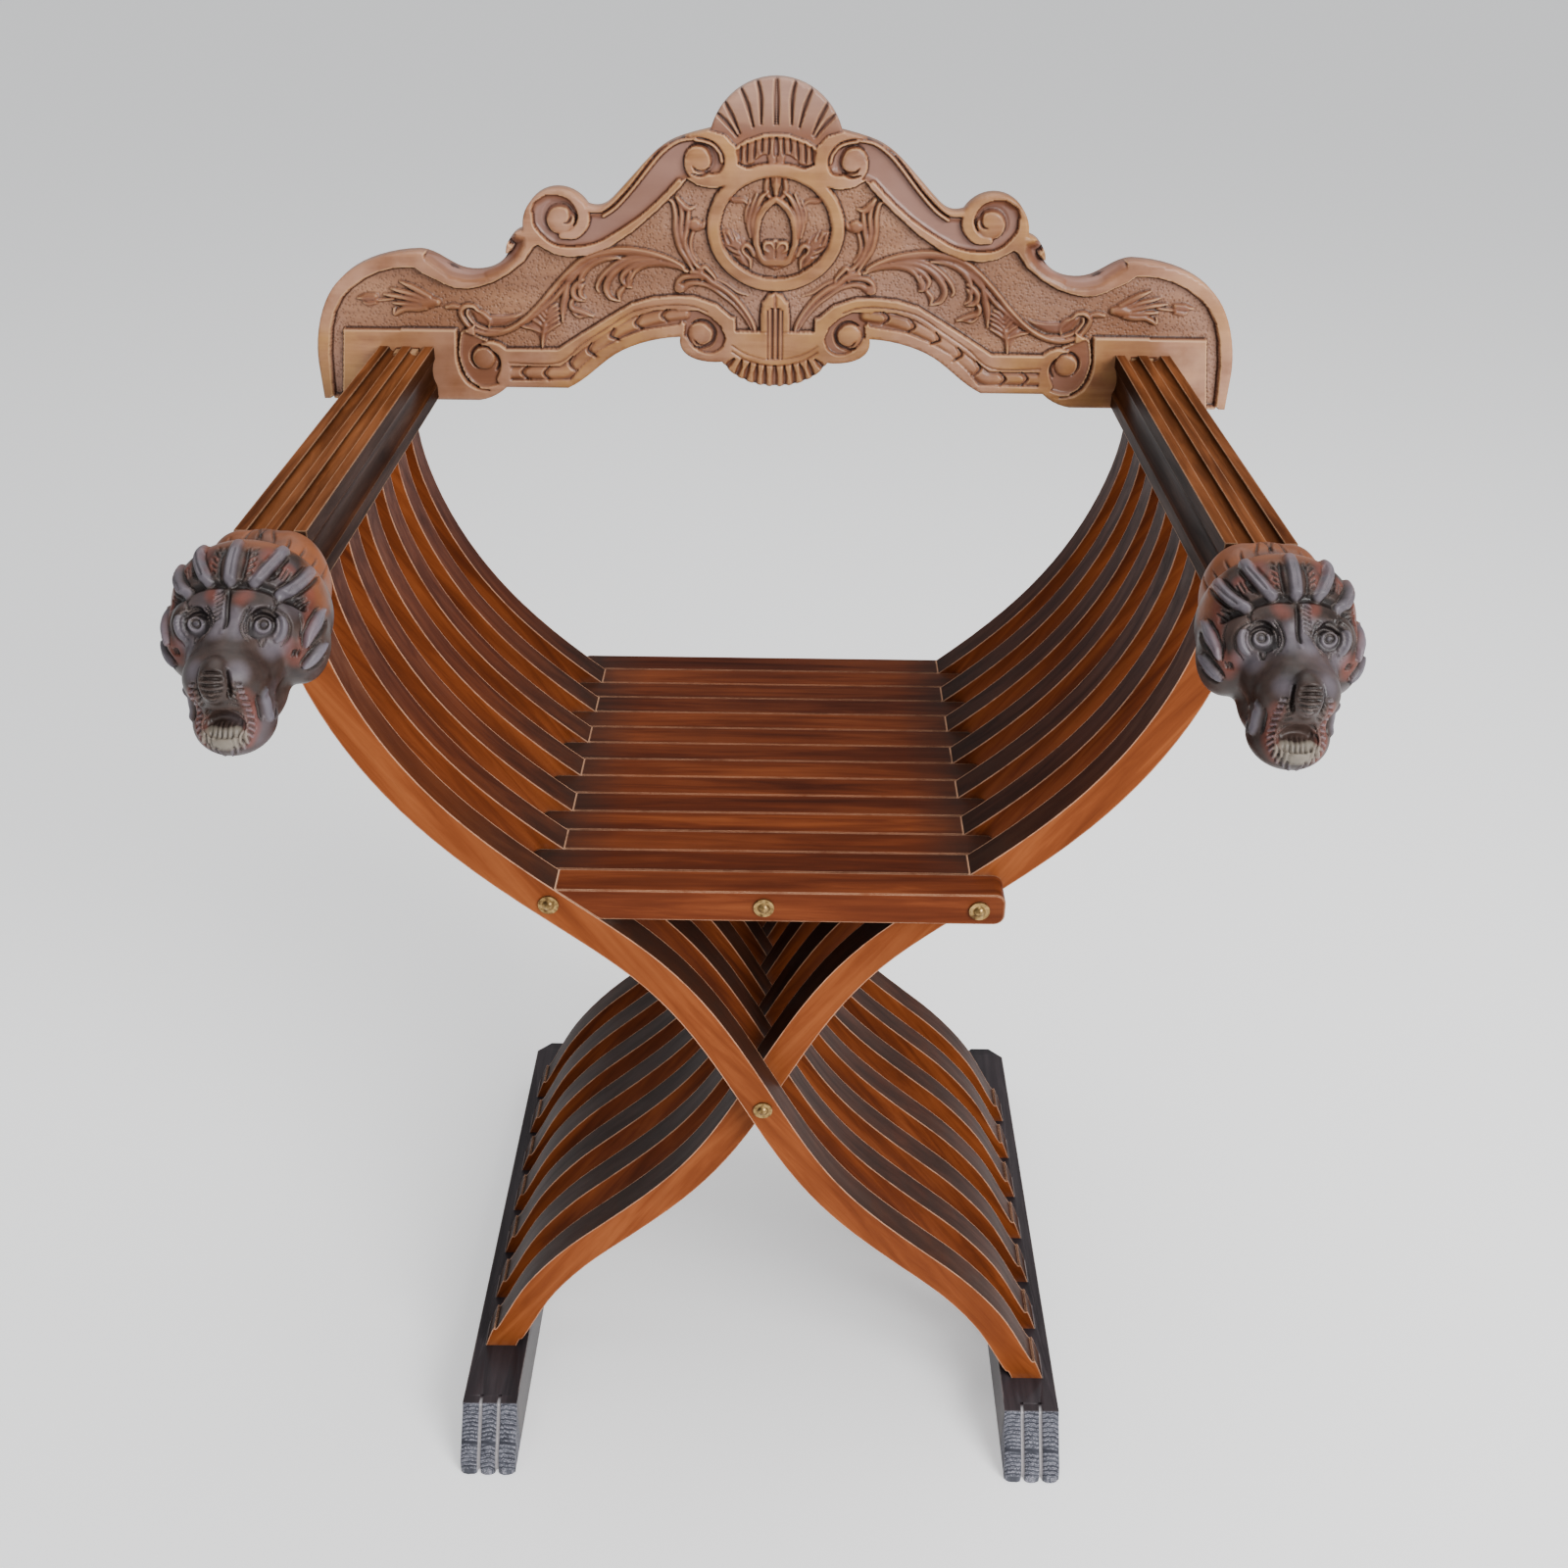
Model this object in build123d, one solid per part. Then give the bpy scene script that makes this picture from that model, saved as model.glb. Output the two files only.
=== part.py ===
"""Folding X-frame (Savonarola) armchair: interleaved bowed legs, hinged seat slats,
lion-head arms, runner feet and a lift-off carved back rail.

Millimetres. +X to the sitter's left as seen from the front, -Y to the front, +Z up.
The origin lies on the floor, under the middle of the chair's box.
"""

import os
from math import cos, radians, sin

from build123d import *

# ---- layers of the X frame, front to back -------------------------------------------
layer_count = 14
layer_pitch = 24.0
layer_clearance = 0.5

# ---- heights and half widths of the main points -------------------------------------
seat_rod_height = 475.0
seat_rod_x = 136.0
pivot_height = 307.6
arm_x = 271.5
arm_underside = 690.4
foot_x = 202.7

# ---- bowed legs ---------------------------------------------------------------------
leg_width = 22.0
tenon_length = 12.0
mortise_clearance = 0.1
leg_edge_points = 25
# Each bow is a share of the way along the straight line between two joints, and the
# distance that the leg stands off that line there.
arm_to_seat_bow = [(0.25, -23.3), (0.62, -25.5)]
seat_to_pivot_bow = [(0.42, 16.0)]
pivot_to_foot_bow = [(0.29, -10.0), (0.59, 4.8), (0.855, 7.7)]

# ---- seat slats ---------------------------------------------------------------------
slat_height = 22.4
slat_tip = 16.5
slat_tip_round = 7.0
slat_edge_break = 0.6
slat_rest_gap = 0.3

# ---- rods, washers and pins ---------------------------------------------------------
rod_radius = 3.0
rod_clearance = 0.05
washer_radius = 6.5
washer_thickness = 1.5
head_radius = 3.8
head_height = 2.6
washer_gap = 0.3

# ---- arms ---------------------------------------------------------------------------
arm_width = 40.0
arm_height = 38.5
arm_front_overhang = 12.0
arm_rear_reach = 16.7
arm_ridge_width = 7.0
arm_flute_depth = 4.0
arm_side_flute_depth = 2.5
arm_side_flute_height = 20.0

# ---- lion heads ---------------------------------------------------------------------
head_length = 126.0
head_dowel_radius = 6.0
head_dowel_length = 50.0
head_dowel_clearance = 0.1
# Sections from the neck to the nose: distance from the neck, height of the middle above
# the arm's underside, half width and half height.
head_sections = [
    (0.0, 12.0, 38.0, 35.0),
    (26.0, 8.0, 45.0, 45.5),
    (50.0, 6.0, 45.5, 46.5),
    (74.0, 1.0, 42.0, 41.5),
    (94.0, -8.0, 31.0, 34.0),
    (112.0, -11.0, 23.0, 28.0),
    (122.0, -11.5, 19.5, 25.0),
    (126.0, -11.5, 14.0, 19.0),
]
mouth_height = 11.0
mouth_width = 28.0
mouth_depth = 20.0
mouth_below_middle = 8.5

# ---- feet ---------------------------------------------------------------------------
foot_width = 40.5
foot_height = 43.0
foot_mortise_depth = 18.0
foot_tenon_lean = 6.0
foot_front_overhang = 61.0
foot_rear_overhang = 54.0
toe_top_overhang = 30.0
toe_lip = 7.0
toe_count = 3
toe_groove_width = 2.4
toe_groove_depth = 6.0
toe_groove_lead = 5.0
foot_rear_chamfer = 12.0

# ---- carved back rail ---------------------------------------------------------------
rail_gap = 0.3
rail_thickness = 18.0
rail_relief = 4.0
rail_half_width = 338.5
rail_rise = 226.3
rail_below_arm = 1.7
crest_radius = 48.0
pad_width = 85.0
pad_outward = 3.0
pad_above_arm = 12.6
medallion_radius = 49.0
medallion_band = 10.0
# The carved outline and its scrolls are drawn as shares of the rail's half width and of
# its rise above its foot. A scroll's last number is its radius.
medallion_share = 0.5431
mid_scroll = (0.4638, 0.5669, 23.5)
small_scrolls = [
    (0.1530, 0.7645, 14.0),
    (0.1595, 0.2236, 15.0),
    (0.6357, 0.1321, 17.0),
]
upper_band = [
    (0.1773, 0.8343),
    (0.2216, 0.8100),
    (0.2824, 0.7349),
    (0.3338, 0.6553),
    (0.3604, 0.6222),
    (0.3959, 0.6200),
]
curl = [
    (0.5554, 0.5316),
    (0.5702, 0.4962),
    (0.5716, 0.4697),
]
sweep = [
    (0.5997, 0.4278),
    (0.6381, 0.4123),
    (0.6765, 0.4189),
    (0.7208, 0.4543),
    (0.7622, 0.4741),
]
lobe = [
    (0.8419, 0.4565),
    (0.9403, 0.3769),
    (0.9838, 0.2643),
    (1.0000, 0.1162),
]
lower_run = [
    (0.6529, 0.0000),
    (0.6204, 0.0146),
    (0.5908, 0.0446),
]
straight_end = (0.4549, 0.0446)
lower_band = [
    (0.4165, 0.0795),
    (0.3507, 0.1560),
    (0.2724, 0.2037),
    (0.2059, 0.2179),
]
lower_scroll = [
    (0.1979, 0.1692),
    (0.1654, 0.1427),
    (0.1152, 0.1383),
]
shell = [
    (0.1004, 0.1118),
    (0.0591, 0.0742),
    (0.0000, 0.0588),
]
# Right half of the sunk ground's outline, from the crest down to the shell.
ground_edge = [
    (0.0000, 0.9602), (0.0350, 0.9521), (0.0703, 0.9244), (0.0947, 0.8860), (0.1211, 0.8165),
    (0.1910, 0.7865), (0.2232, 0.7618), (0.3260, 0.6108), (0.3484, 0.5867), (0.3706, 0.5765),
    (0.3902, 0.5771), (0.4086, 0.5851), (0.4304, 0.6181), (0.4463, 0.6295), (0.4683, 0.6303),
    (0.4846, 0.6201), (0.5033, 0.5841), (0.5099, 0.5236), (0.5405, 0.4975), (0.5461, 0.4586),
    (0.5555, 0.4334), (0.5716, 0.4082), (0.5955, 0.3867), (0.6316, 0.3732), (0.6720, 0.3760),
    (0.7626, 0.4343), (0.8332, 0.4188), (0.8910, 0.3840), (0.9256, 0.3421), (0.9494, 0.2858),
    (0.9666, 0.2100), (0.9734, 0.1239), (0.9714, 0.0398), (0.6550, 0.0398), (0.6281, 0.0533),
    (0.5957, 0.0837), (0.4611, 0.0844), (0.3721, 0.1825), (0.3371, 0.2123), (0.2733, 0.2443),
    (0.2067, 0.2577), (0.1858, 0.2440), (0.1798, 0.2251), (0.1793, 0.1986), (0.1726, 0.1891),
    (0.1457, 0.1777), (0.1088, 0.1769), (0.0581, 0.1167), (0.0321, 0.1036), (0.0000, 0.0986),
]

# ---- sliding dovetails between the arms and the back rail ---------------------------
key_neck_width = 16.0
key_back_width = 22.0
key_length = 34.0
key_in_rail = 8.0
key_in_arm = 10.0
key_clearance = 0.3

# ---- what follows from those sizes --------------------------------------------------
stack_depth = layer_count * layer_pitch
leg_thickness = layer_pitch - layer_clearance
head_reach = arm_front_overhang + head_length
stack_front = (head_reach - stack_depth - foot_rear_overhang) / 2
stack_back = stack_front + stack_depth
neck_y = stack_front - arm_front_overhang
rail_front = stack_back + arm_rear_reach
arm_back = rail_front - rail_gap
arm_top = arm_underside + arm_height
arm_middle = arm_underside + arm_height / 2
rod_hole_radius = rod_radius + rod_clearance
rail_bottom = arm_underside - rail_below_arm
crest_centre = Vector(0, rail_bottom + rail_rise - crest_radius)
medallion_centre = Vector(0, rail_bottom + medallion_share * rail_rise)
even_layers = range(0, layer_count, 2)
odd_layers = range(1, layer_count, 2)

LEFT = -1
RIGHT = 1


def layer_front(layer):
    return stack_front + layer * layer_pitch


def upright(y_front):
    """Drawing plane that faces the front, with its sketch x along +X and y along +Z."""
    return Plane(origin=(0, y_front, 0), x_dir=(1, 0, 0), z_dir=(0, -1, 0))


def board(sketch, y_front, thickness):
    """A flat board of the sketch's outline, from y_front towards the back."""
    return extrude(upright(y_front) * sketch, amount=-thickness)


def rod(x, z, radius, y_front, length):
    return board(Pos(x, z) * Circle(radius), y_front, length)


def opposite(shape):
    """The same piece on the chair's other side."""
    return mirror(shape, about=Plane.YZ)


def bowed(start, end, bows):
    """Points that stand off the straight line from start to end."""
    chord = end - start
    across = Vector(-chord.Y, chord.X).normalized()
    return [start + chord * share + across * aside for share, aside in bows]


# ---- legs ---------------------------------------------------------------------------
def leg_line():
    """Middle line of a leg that runs from the left arm to the right foot."""
    arm_joint = Vector(-arm_x, arm_underside)
    seat_joint = Vector(-seat_rod_x, seat_rod_height)
    pivot = Vector(0, pivot_height)
    foot_joint = Vector(foot_x, foot_height)
    foot_tenon = Vector(foot_tenon_lean, -foot_mortise_depth)
    points = [
        arm_joint + Vector(0, tenon_length),
        arm_joint,
        *bowed(arm_joint, seat_joint, arm_to_seat_bow),
        seat_joint,
        *bowed(seat_joint, pivot, seat_to_pivot_bow),
        pivot,
        *bowed(pivot, foot_joint, pivot_to_foot_bow),
        foot_joint,
        foot_joint + foot_tenon,
    ]
    return Spline(*points, tangents=[(0, -1), foot_tenon.normalized()])


middle_line = leg_line()


def leg_outline(gap=0.0):
    """Band of the leg's width along its middle line, with a gap all round if one is given."""
    edges = []
    for side in (1, -1):
        points = []
        for n in range(leg_edge_points):
            along = n / (leg_edge_points - 1)
            run = middle_line % along
            aside = Vector(-run.Y, run.X) * side * (leg_width / 2 + gap)
            points.append(middle_line @ along + aside)
        points[0] -= (middle_line % 0) * gap
        points[-1] += (middle_line % 1) * gap
        edges.append(Spline(*points, tangents=[middle_line % 0, middle_line % 1]))
    top = Line(edges[0] @ 0, edges[1] @ 0)
    bottom = Line(edges[0] @ 1, edges[1] @ 1)
    return make_face([*edges, top, bottom])


plain_leg_outline = leg_outline()
mortise_outline = leg_outline(mortise_clearance)
rest_outline = leg_outline(slat_rest_gap)


def leg(layer):
    """A leg from the left arm to the right foot, drilled for the seat rod and the pivot."""
    y_front = layer_front(layer)
    body = board(plain_leg_outline, y_front, leg_thickness)
    for x, z in ((-seat_rod_x, seat_rod_height), (0, pivot_height)):
        body -= rod(x, z, rod_hole_radius, y_front - 1, leg_thickness + 2)
    return body


def leg_mortises(layers):
    """What the legs of the given layers take out of an arm or a foot."""
    return [
        board(mortise_outline, layer_front(n) - mortise_clearance, leg_thickness + 2 * mortise_clearance)
        for n in layers
    ]


# ---- seat ---------------------------------------------------------------------------
def slat_outline():
    """Slat hinged on the right rod: round tip on the right, cut on the left to rest on a leg."""
    right_end = seat_rod_x + slat_tip
    left_end = -(seat_rod_x + leg_width)
    length = right_end - left_end
    bar = Pos((right_end + left_end) / 2, seat_rod_height) * Rectangle(length, slat_height)
    bar = fillet(bar.vertices().sort_by(Axis.X)[-2:], slat_tip_round)
    pieces = bar - rest_outline
    return pieces.faces().sort_by(Axis.X)[-1]


right_slat_outline = slat_outline()


def slat(layer):
    """Seat slat hinged on the right rod and pinned to its neighbours at the middle."""
    y_front = layer_front(layer)
    body = board(right_slat_outline, y_front, leg_thickness)
    top = body.faces().filter_by(Axis.Z).sort_by(Axis.Z)[-1]
    body = chamfer(top.edges().filter_by(Axis.X), slat_edge_break)
    for x in (0, seat_rod_x):
        body -= rod(x, seat_rod_height, rod_hole_radius, y_front - 1, leg_thickness + 2)
    return body


# ---- rods and washers ---------------------------------------------------------------
def domed_head(x, z, y_seat, outward):
    """Riveted end of a rod, standing off y_seat to the front (-1) or the back (+1)."""
    shank = rod(x, z, rod_radius, min(y_seat, y_seat + outward * washer_thickness), washer_thickness)
    ball_radius = (head_radius**2 + head_height**2) / (2 * head_height)
    base = y_seat + outward * washer_thickness
    ball = Pos(x, base + outward * (head_height - ball_radius), z) * Sphere(ball_radius)
    keep = Pos(x, base + outward * head_height / 2, z) * Box(20, head_height, 20)
    return shank + (ball & keep)


def washer(x, z, y_seat, outward):
    y_front = min(y_seat, y_seat + outward * washer_thickness)
    ring = rod(x, z, washer_radius, y_front, washer_thickness)
    return ring - rod(x, z, rod_hole_radius, y_front, washer_thickness)


def through_rod(x, z, front_gap, back_gap):
    """Rod through all layers, with the seats of its two washers."""
    front_seat = stack_front - front_gap
    back_seat = stack_back - layer_clearance + back_gap
    body = rod(x, z, rod_radius, front_seat, back_seat - front_seat)
    body += domed_head(x, z, front_seat, -1)
    body += domed_head(x, z, back_seat, 1)
    washers = [washer(x, z, front_seat, -1), washer(x, z, back_seat, 1)]
    return body, washers


# ---- arms ---------------------------------------------------------------------------
def arm_outline():
    """Section of the left arm: three ridges with two flutes on top, one flute inside."""
    half = arm_width / 2
    flute_ends = [
        (-half + arm_ridge_width, -arm_ridge_width / 2),
        (arm_ridge_width / 2, half - arm_ridge_width),
    ]
    section = Pos(0, arm_height / 2) * Rectangle(arm_width, arm_height)
    for start, end in flute_ends:
        hollow = ThreePointArc(
            (start, arm_height), ((start + end) / 2, arm_height - arm_flute_depth), (end, arm_height)
        )
        section -= make_face([hollow, Line((end, arm_height), (start, arm_height))])
    low = (arm_height - arm_side_flute_height) / 2
    high = low + arm_side_flute_height
    hollow = ThreePointArc((half, low), (half - arm_side_flute_depth, arm_height / 2), (half, high))
    return section - make_face([hollow, Line((half, high), (half, low))])


def arm(layers):
    """Left arm, mortised below for the legs of the given layers."""
    section = Pos(-arm_x, arm_underside) * arm_outline()
    body = board(section, neck_y, arm_back - neck_y)
    for pocket in leg_mortises(layers):
        body -= pocket
    return body - head_dowel(head_dowel_clearance)


def head_dowel(grown=0.0):
    """Dowel between the left arm and its lion head, or the hole that takes it."""
    length = head_dowel_length + 2 * grown
    return rod(-arm_x, arm_middle, head_dowel_radius + grown, neck_y - length / 2, length)


def lion_head():
    """Left lion head in the rough: skull, muzzle, jaw and open mouth."""
    sections = []
    for reach, above, half_width, half_height in head_sections:
        place = upright(neck_y - reach) * Pos(-arm_x, arm_underside + above)
        sections.append(place * Ellipse(half_width, half_height))
    body = loft(sections)
    mouth_z = arm_underside + head_sections[-1][1] - mouth_below_middle
    mouth_y = neck_y - head_length + mouth_depth / 2
    mouth = Pos(-arm_x, mouth_y, mouth_z) * Box(mouth_width, mouth_depth + 1, mouth_height)
    return body - mouth - head_dowel(head_dowel_clearance)


# ---- feet ---------------------------------------------------------------------------
def foot(layers):
    """Right foot: a runner with three toes, mortised for the legs of the given layers."""
    front = stack_front - foot_front_overhang
    toe_top = stack_front - toe_top_overhang
    back = stack_back + foot_rear_overhang
    profile = make_face(
        Polyline(
            (front, 0),
            (front, toe_lip),
            (toe_top, foot_height),
            (back, foot_height),
            (back, 0),
            close=True,
        )
    )
    side = Plane(origin=(foot_x - foot_width / 2, 0, 0), x_dir=(0, 1, 0), z_dir=(1, 0, 0))
    body = extrude(side * profile, amount=foot_width)
    rear_corners = body.edges().filter_by(Axis.Z).sort_by(Axis.Y)[-2:]
    body = chamfer(rear_corners, foot_rear_chamfer)
    toe_width = foot_width / toe_count
    slope = Vector(0, toe_top - front, foot_height - toe_lip)
    run = slope.length + toe_groove_lead + foot_height
    for n in range(1, toe_count):
        x = foot_x - foot_width / 2 + n * toe_width
        across = Plane(origin=(x, toe_top, foot_height), x_dir=(1, 0, 0), z_dir=slope.normalized())
        middle = Pos(0, 0, toe_groove_lead - run / 2)
        body -= across * middle * Box(toe_groove_width, 2 * toe_groove_depth, run)
    for pocket in leg_mortises(layers):
        body -= pocket
    return body


# ---- back rail ----------------------------------------------------------------------
def rail_point(share_out, share_up):
    return Vector(share_out * rail_half_width, rail_bottom + share_up * rail_rise)


def rail_curve(start, shares):
    return Spline(start, *[rail_point(*share) for share in shares])


def rail_edge():
    """Right half of the rail's outline, from the crest round to the bottom middle."""
    crest = ThreePointArc(
        crest_centre + Vector(0, crest_radius),
        crest_centre + crest_radius * Vector(cos(radians(50)), sin(radians(50))),
        crest_centre + crest_radius * Vector(cos(radians(17)), sin(radians(17))),
    )
    edges = [crest, rail_curve(crest @ 1, upper_band)]
    *scroll_place, scroll_radius = mid_scroll
    scroll_centre = rail_point(*scroll_place)
    edges.append(
        ThreePointArc(
            edges[-1] @ 1,
            scroll_centre + Vector(0.12, 0.99) * scroll_radius,
            scroll_centre + Vector(0.98, -0.2) * scroll_radius,
        )
    )
    for shares in (curl, sweep, lobe):
        edges.append(rail_curve(edges[-1] @ 1, shares))
    foot_end = Vector(rail_half_width - 1, rail_bottom)
    edges.append(Line(edges[-1] @ 1, foot_end))
    edges.append(Line(foot_end, rail_point(*lower_run[0])))
    edges.append(Spline(*[rail_point(*share) for share in lower_run]))
    edges.append(Line(edges[-1] @ 1, rail_point(*straight_end)))
    for shares in (lower_band, lower_scroll, shell):
        edges.append(rail_curve(edges[-1] @ 1, shares))
    return edges


def rail_outline():
    half = rail_edge()
    axis = Line(half[-1] @ 1, half[0] @ 0)
    right = make_face([*half, axis])
    return right + mirror(right, about=Plane.YZ)


def dovetail_key(grown=0.0):
    """Left dovetail key, upright, narrow at the rail's face and wide inside the rail."""
    neck = key_neck_width / 2 + grown
    wide = key_back_width / 2 + grown
    plan = make_face(
        Polyline(
            (-arm_x - neck, rail_front),
            (-arm_x - wide, rail_front + key_in_rail + grown),
            (-arm_x + wide, rail_front + key_in_rail + grown),
            (-arm_x + neck, rail_front),
            close=True,
        )
    )
    low = arm_middle - key_length / 2
    return Pos(0, 0, low) * extrude(plan, amount=key_length)


def arm_tongue(grown=0.0):
    """Part of the left key that sits in a slot in the end of the left arm."""
    width = key_neck_width + 2 * grown
    depth = key_in_arm + grown + rail_gap
    height = key_length + 2 * grown
    return Pos(-arm_x, rail_front - depth / 2, arm_middle) * Box(width, depth, height)


def rail_groove():
    """Dovetail groove for the left key, open at the rail's foot so that the rail lifts off."""
    groove = dovetail_key(key_clearance)
    low = rail_bottom - 1
    high = arm_middle + key_length / 2 + key_clearance
    section = groove.faces().sort_by(Axis.Z)[0]
    return extrude(Pos(0, 0, low - section.center().Z) * section, amount=high - low, dir=(0, 0, 1))


def sunk_ground():
    right = [rail_point(*share) for share in ground_edge]
    left = [Vector(-point.X, point.Y) for point in reversed(right[1:-1])]
    return make_face(Polyline(*right, *left, close=True))


def raised_fields():
    """What stands up to the rail's front plane inside its border."""
    inner_radius = medallion_radius - medallion_band
    ring = Circle(medallion_radius) - Circle(inner_radius)
    fields = [
        Pos(medallion_centre.X, medallion_centre.Y) * ring,
        Pos(crest_centre.X, crest_centre.Y) * Circle(crest_radius),
    ]
    pad_height = pad_above_arm + arm_height + rail_below_arm
    pad_middle = rail_bottom + pad_height / 2
    for side in (LEFT, RIGHT):
        pad = Rectangle(pad_width, pad_height)
        fields.append(Pos(side * (arm_x + pad_outward), pad_middle) * pad)
        for out, up, radius in (mid_scroll, *small_scrolls):
            centre = rail_point(out, up)
            fields.append(Pos(side * centre.X, centre.Y) * Circle(radius))
    return fields


def back_rail():
    outline = rail_outline()
    carved = board(sunk_ground(), rail_front - 1, rail_relief + 1)
    for field in raised_fields():
        carved -= board(field, rail_front - 2, rail_relief + 3)
    groove = rail_groove()
    return board(outline, rail_front, rail_thickness) - carved - groove - opposite(groove)


# ---- pieces -------------------------------------------------------------------------
def name_layer(layer):
    return f"{layer + 1:02d}"


def make_pieces():
    pieces = {}
    for n in even_layers:
        pieces["leg_left_arm_" + name_layer(n)] = leg(n)
        pieces["seat_slat_right_hinged_" + name_layer(n)] = slat(n)
    for n in odd_layers:
        pieces["leg_right_arm_" + name_layer(n)] = opposite(leg(n))
        pieces["seat_slat_left_hinged_" + name_layer(n)] = opposite(slat(n))

    pivot, pivot_washers = through_rod(0, pivot_height, 0, washer_gap)
    left_rod, left_washers = through_rod(-seat_rod_x, seat_rod_height, 0, washer_gap)
    right_rod, right_washers = through_rod(seat_rod_x, seat_rod_height, washer_gap, 0)
    pieces["pivot_rod"] = pivot
    pieces["pivot_washers"] = Compound(children=pivot_washers)
    pieces["left_seat_rod"] = left_rod
    pieces["left_seat_washers"] = Compound(children=left_washers)
    pieces["right_seat_rod"] = right_rod
    pieces["right_seat_washers"] = Compound(children=right_washers)

    centre_pins = []
    for n in even_layers:
        pin = rod(0, seat_rod_height, rod_radius, layer_front(n), leg_thickness)
        if n == 0:
            pin += domed_head(0, seat_rod_height, stack_front, -1)
        centre_pins.append(pin)
    back_seat = stack_back - layer_clearance
    rear_pin = rod(0, seat_rod_height, rod_radius, layer_front(layer_count - 1), leg_thickness)
    rear_pin += domed_head(0, seat_rod_height, back_seat, 1)
    pieces["centre_seat_pins"] = Compound(children=centre_pins)
    pieces["centre_seat_front_washer"] = washer(0, seat_rod_height, stack_front, -1)
    pieces["centre_seat_rear_pin"] = rear_pin
    pieces["centre_seat_rear_washer"] = washer(0, seat_rod_height, back_seat, 1)

    pieces["left_arm"] = arm(even_layers) - arm_tongue(mortise_clearance)
    pieces["right_arm"] = opposite(arm(odd_layers))
    pieces["left_lion_head"] = lion_head()
    pieces["right_lion_head"] = opposite(lion_head())
    pieces["left_head_dowel"] = head_dowel()
    pieces["right_head_dowel"] = opposite(head_dowel())
    pieces["right_foot"] = foot(even_layers)
    pieces["left_foot"] = opposite(foot(odd_layers))
    pieces["back_rail"] = back_rail()
    pieces["left_back_key"] = dovetail_key() + arm_tongue()
    pieces["right_back_key"] = opposite(dovetail_key())
    return pieces


os.makedirs("parts", exist_ok=True)
for name, piece in make_pieces().items():
    export_step(piece, f"parts/{name}.step")
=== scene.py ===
"""An old folding armchair of the Savonarola kind: bowed legs in fourteen layers, a slatted
seat, fluted arms with lion heads, runner feet with toes and a carved back rail."""

from math import cos, pi, radians, sin

import bmesh
import bpy
import numpy as np
from mathutils import Matrix, Vector
from mathutils.geometry import delaunay_2d_cdt


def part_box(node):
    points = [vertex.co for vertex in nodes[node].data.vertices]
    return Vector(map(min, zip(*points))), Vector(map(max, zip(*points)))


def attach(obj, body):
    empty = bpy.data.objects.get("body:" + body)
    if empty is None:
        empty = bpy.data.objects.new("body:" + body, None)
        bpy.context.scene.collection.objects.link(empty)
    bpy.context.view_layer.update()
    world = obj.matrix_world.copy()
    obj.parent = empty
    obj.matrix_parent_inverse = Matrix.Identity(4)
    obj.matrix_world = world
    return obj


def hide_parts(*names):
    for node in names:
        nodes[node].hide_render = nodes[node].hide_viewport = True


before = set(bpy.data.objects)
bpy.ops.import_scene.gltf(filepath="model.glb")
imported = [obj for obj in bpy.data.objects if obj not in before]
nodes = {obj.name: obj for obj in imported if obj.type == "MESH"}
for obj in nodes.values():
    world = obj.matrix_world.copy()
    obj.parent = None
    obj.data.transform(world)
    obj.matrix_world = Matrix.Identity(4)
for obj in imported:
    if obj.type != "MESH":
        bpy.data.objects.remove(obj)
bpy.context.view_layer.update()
ARM_MIDDLE = 0.2715


# ---- small helpers ------------------------------------------------------------------
def take_up(piece):
    bpy.ops.object.select_all(action="DESELECT")
    piece.select_set(True)
    bpy.context.view_layer.objects.active = piece


def finish_on(piece, finish):
    piece.data.materials.clear()
    piece.data.materials.append(finish)


def put_out(name, mesh):
    piece = bpy.data.objects.new(name, mesh)
    bpy.context.scene.collection.objects.link(piece)
    return piece


def stand_in(piece, finish, body, node):
    """The finished piece takes the place of a node and moves with its body."""
    finish_on(piece, finish)
    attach(piece, body)
    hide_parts(node)


def cut_away(piece, cutter):
    take_up(piece)
    cut = piece.modifiers.new("cut", "BOOLEAN")
    cut.object = cutter
    cut.solver = "EXACT"
    bpy.ops.object.modifier_apply(modifier=cut.name)
    bpy.data.objects.remove(cutter)


def on_all_of(piece, *steps):
    """Work on the whole mesh of a piece in edit mode."""
    take_up(piece)
    bpy.ops.object.mode_set(mode="EDIT")
    bpy.ops.mesh.select_all(action="SELECT")
    for step in steps:
        step()
    bpy.ops.object.mode_set(mode="OBJECT")


def keep_marks(mesh, **marks):
    """Values at the mesh's points, for its finish to read."""
    for name, values in marks.items():
        layer = mesh.attributes.new(name, "FLOAT", "POINT")
        layer.data.foreach_set("value", values.astype(np.float32))


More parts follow.
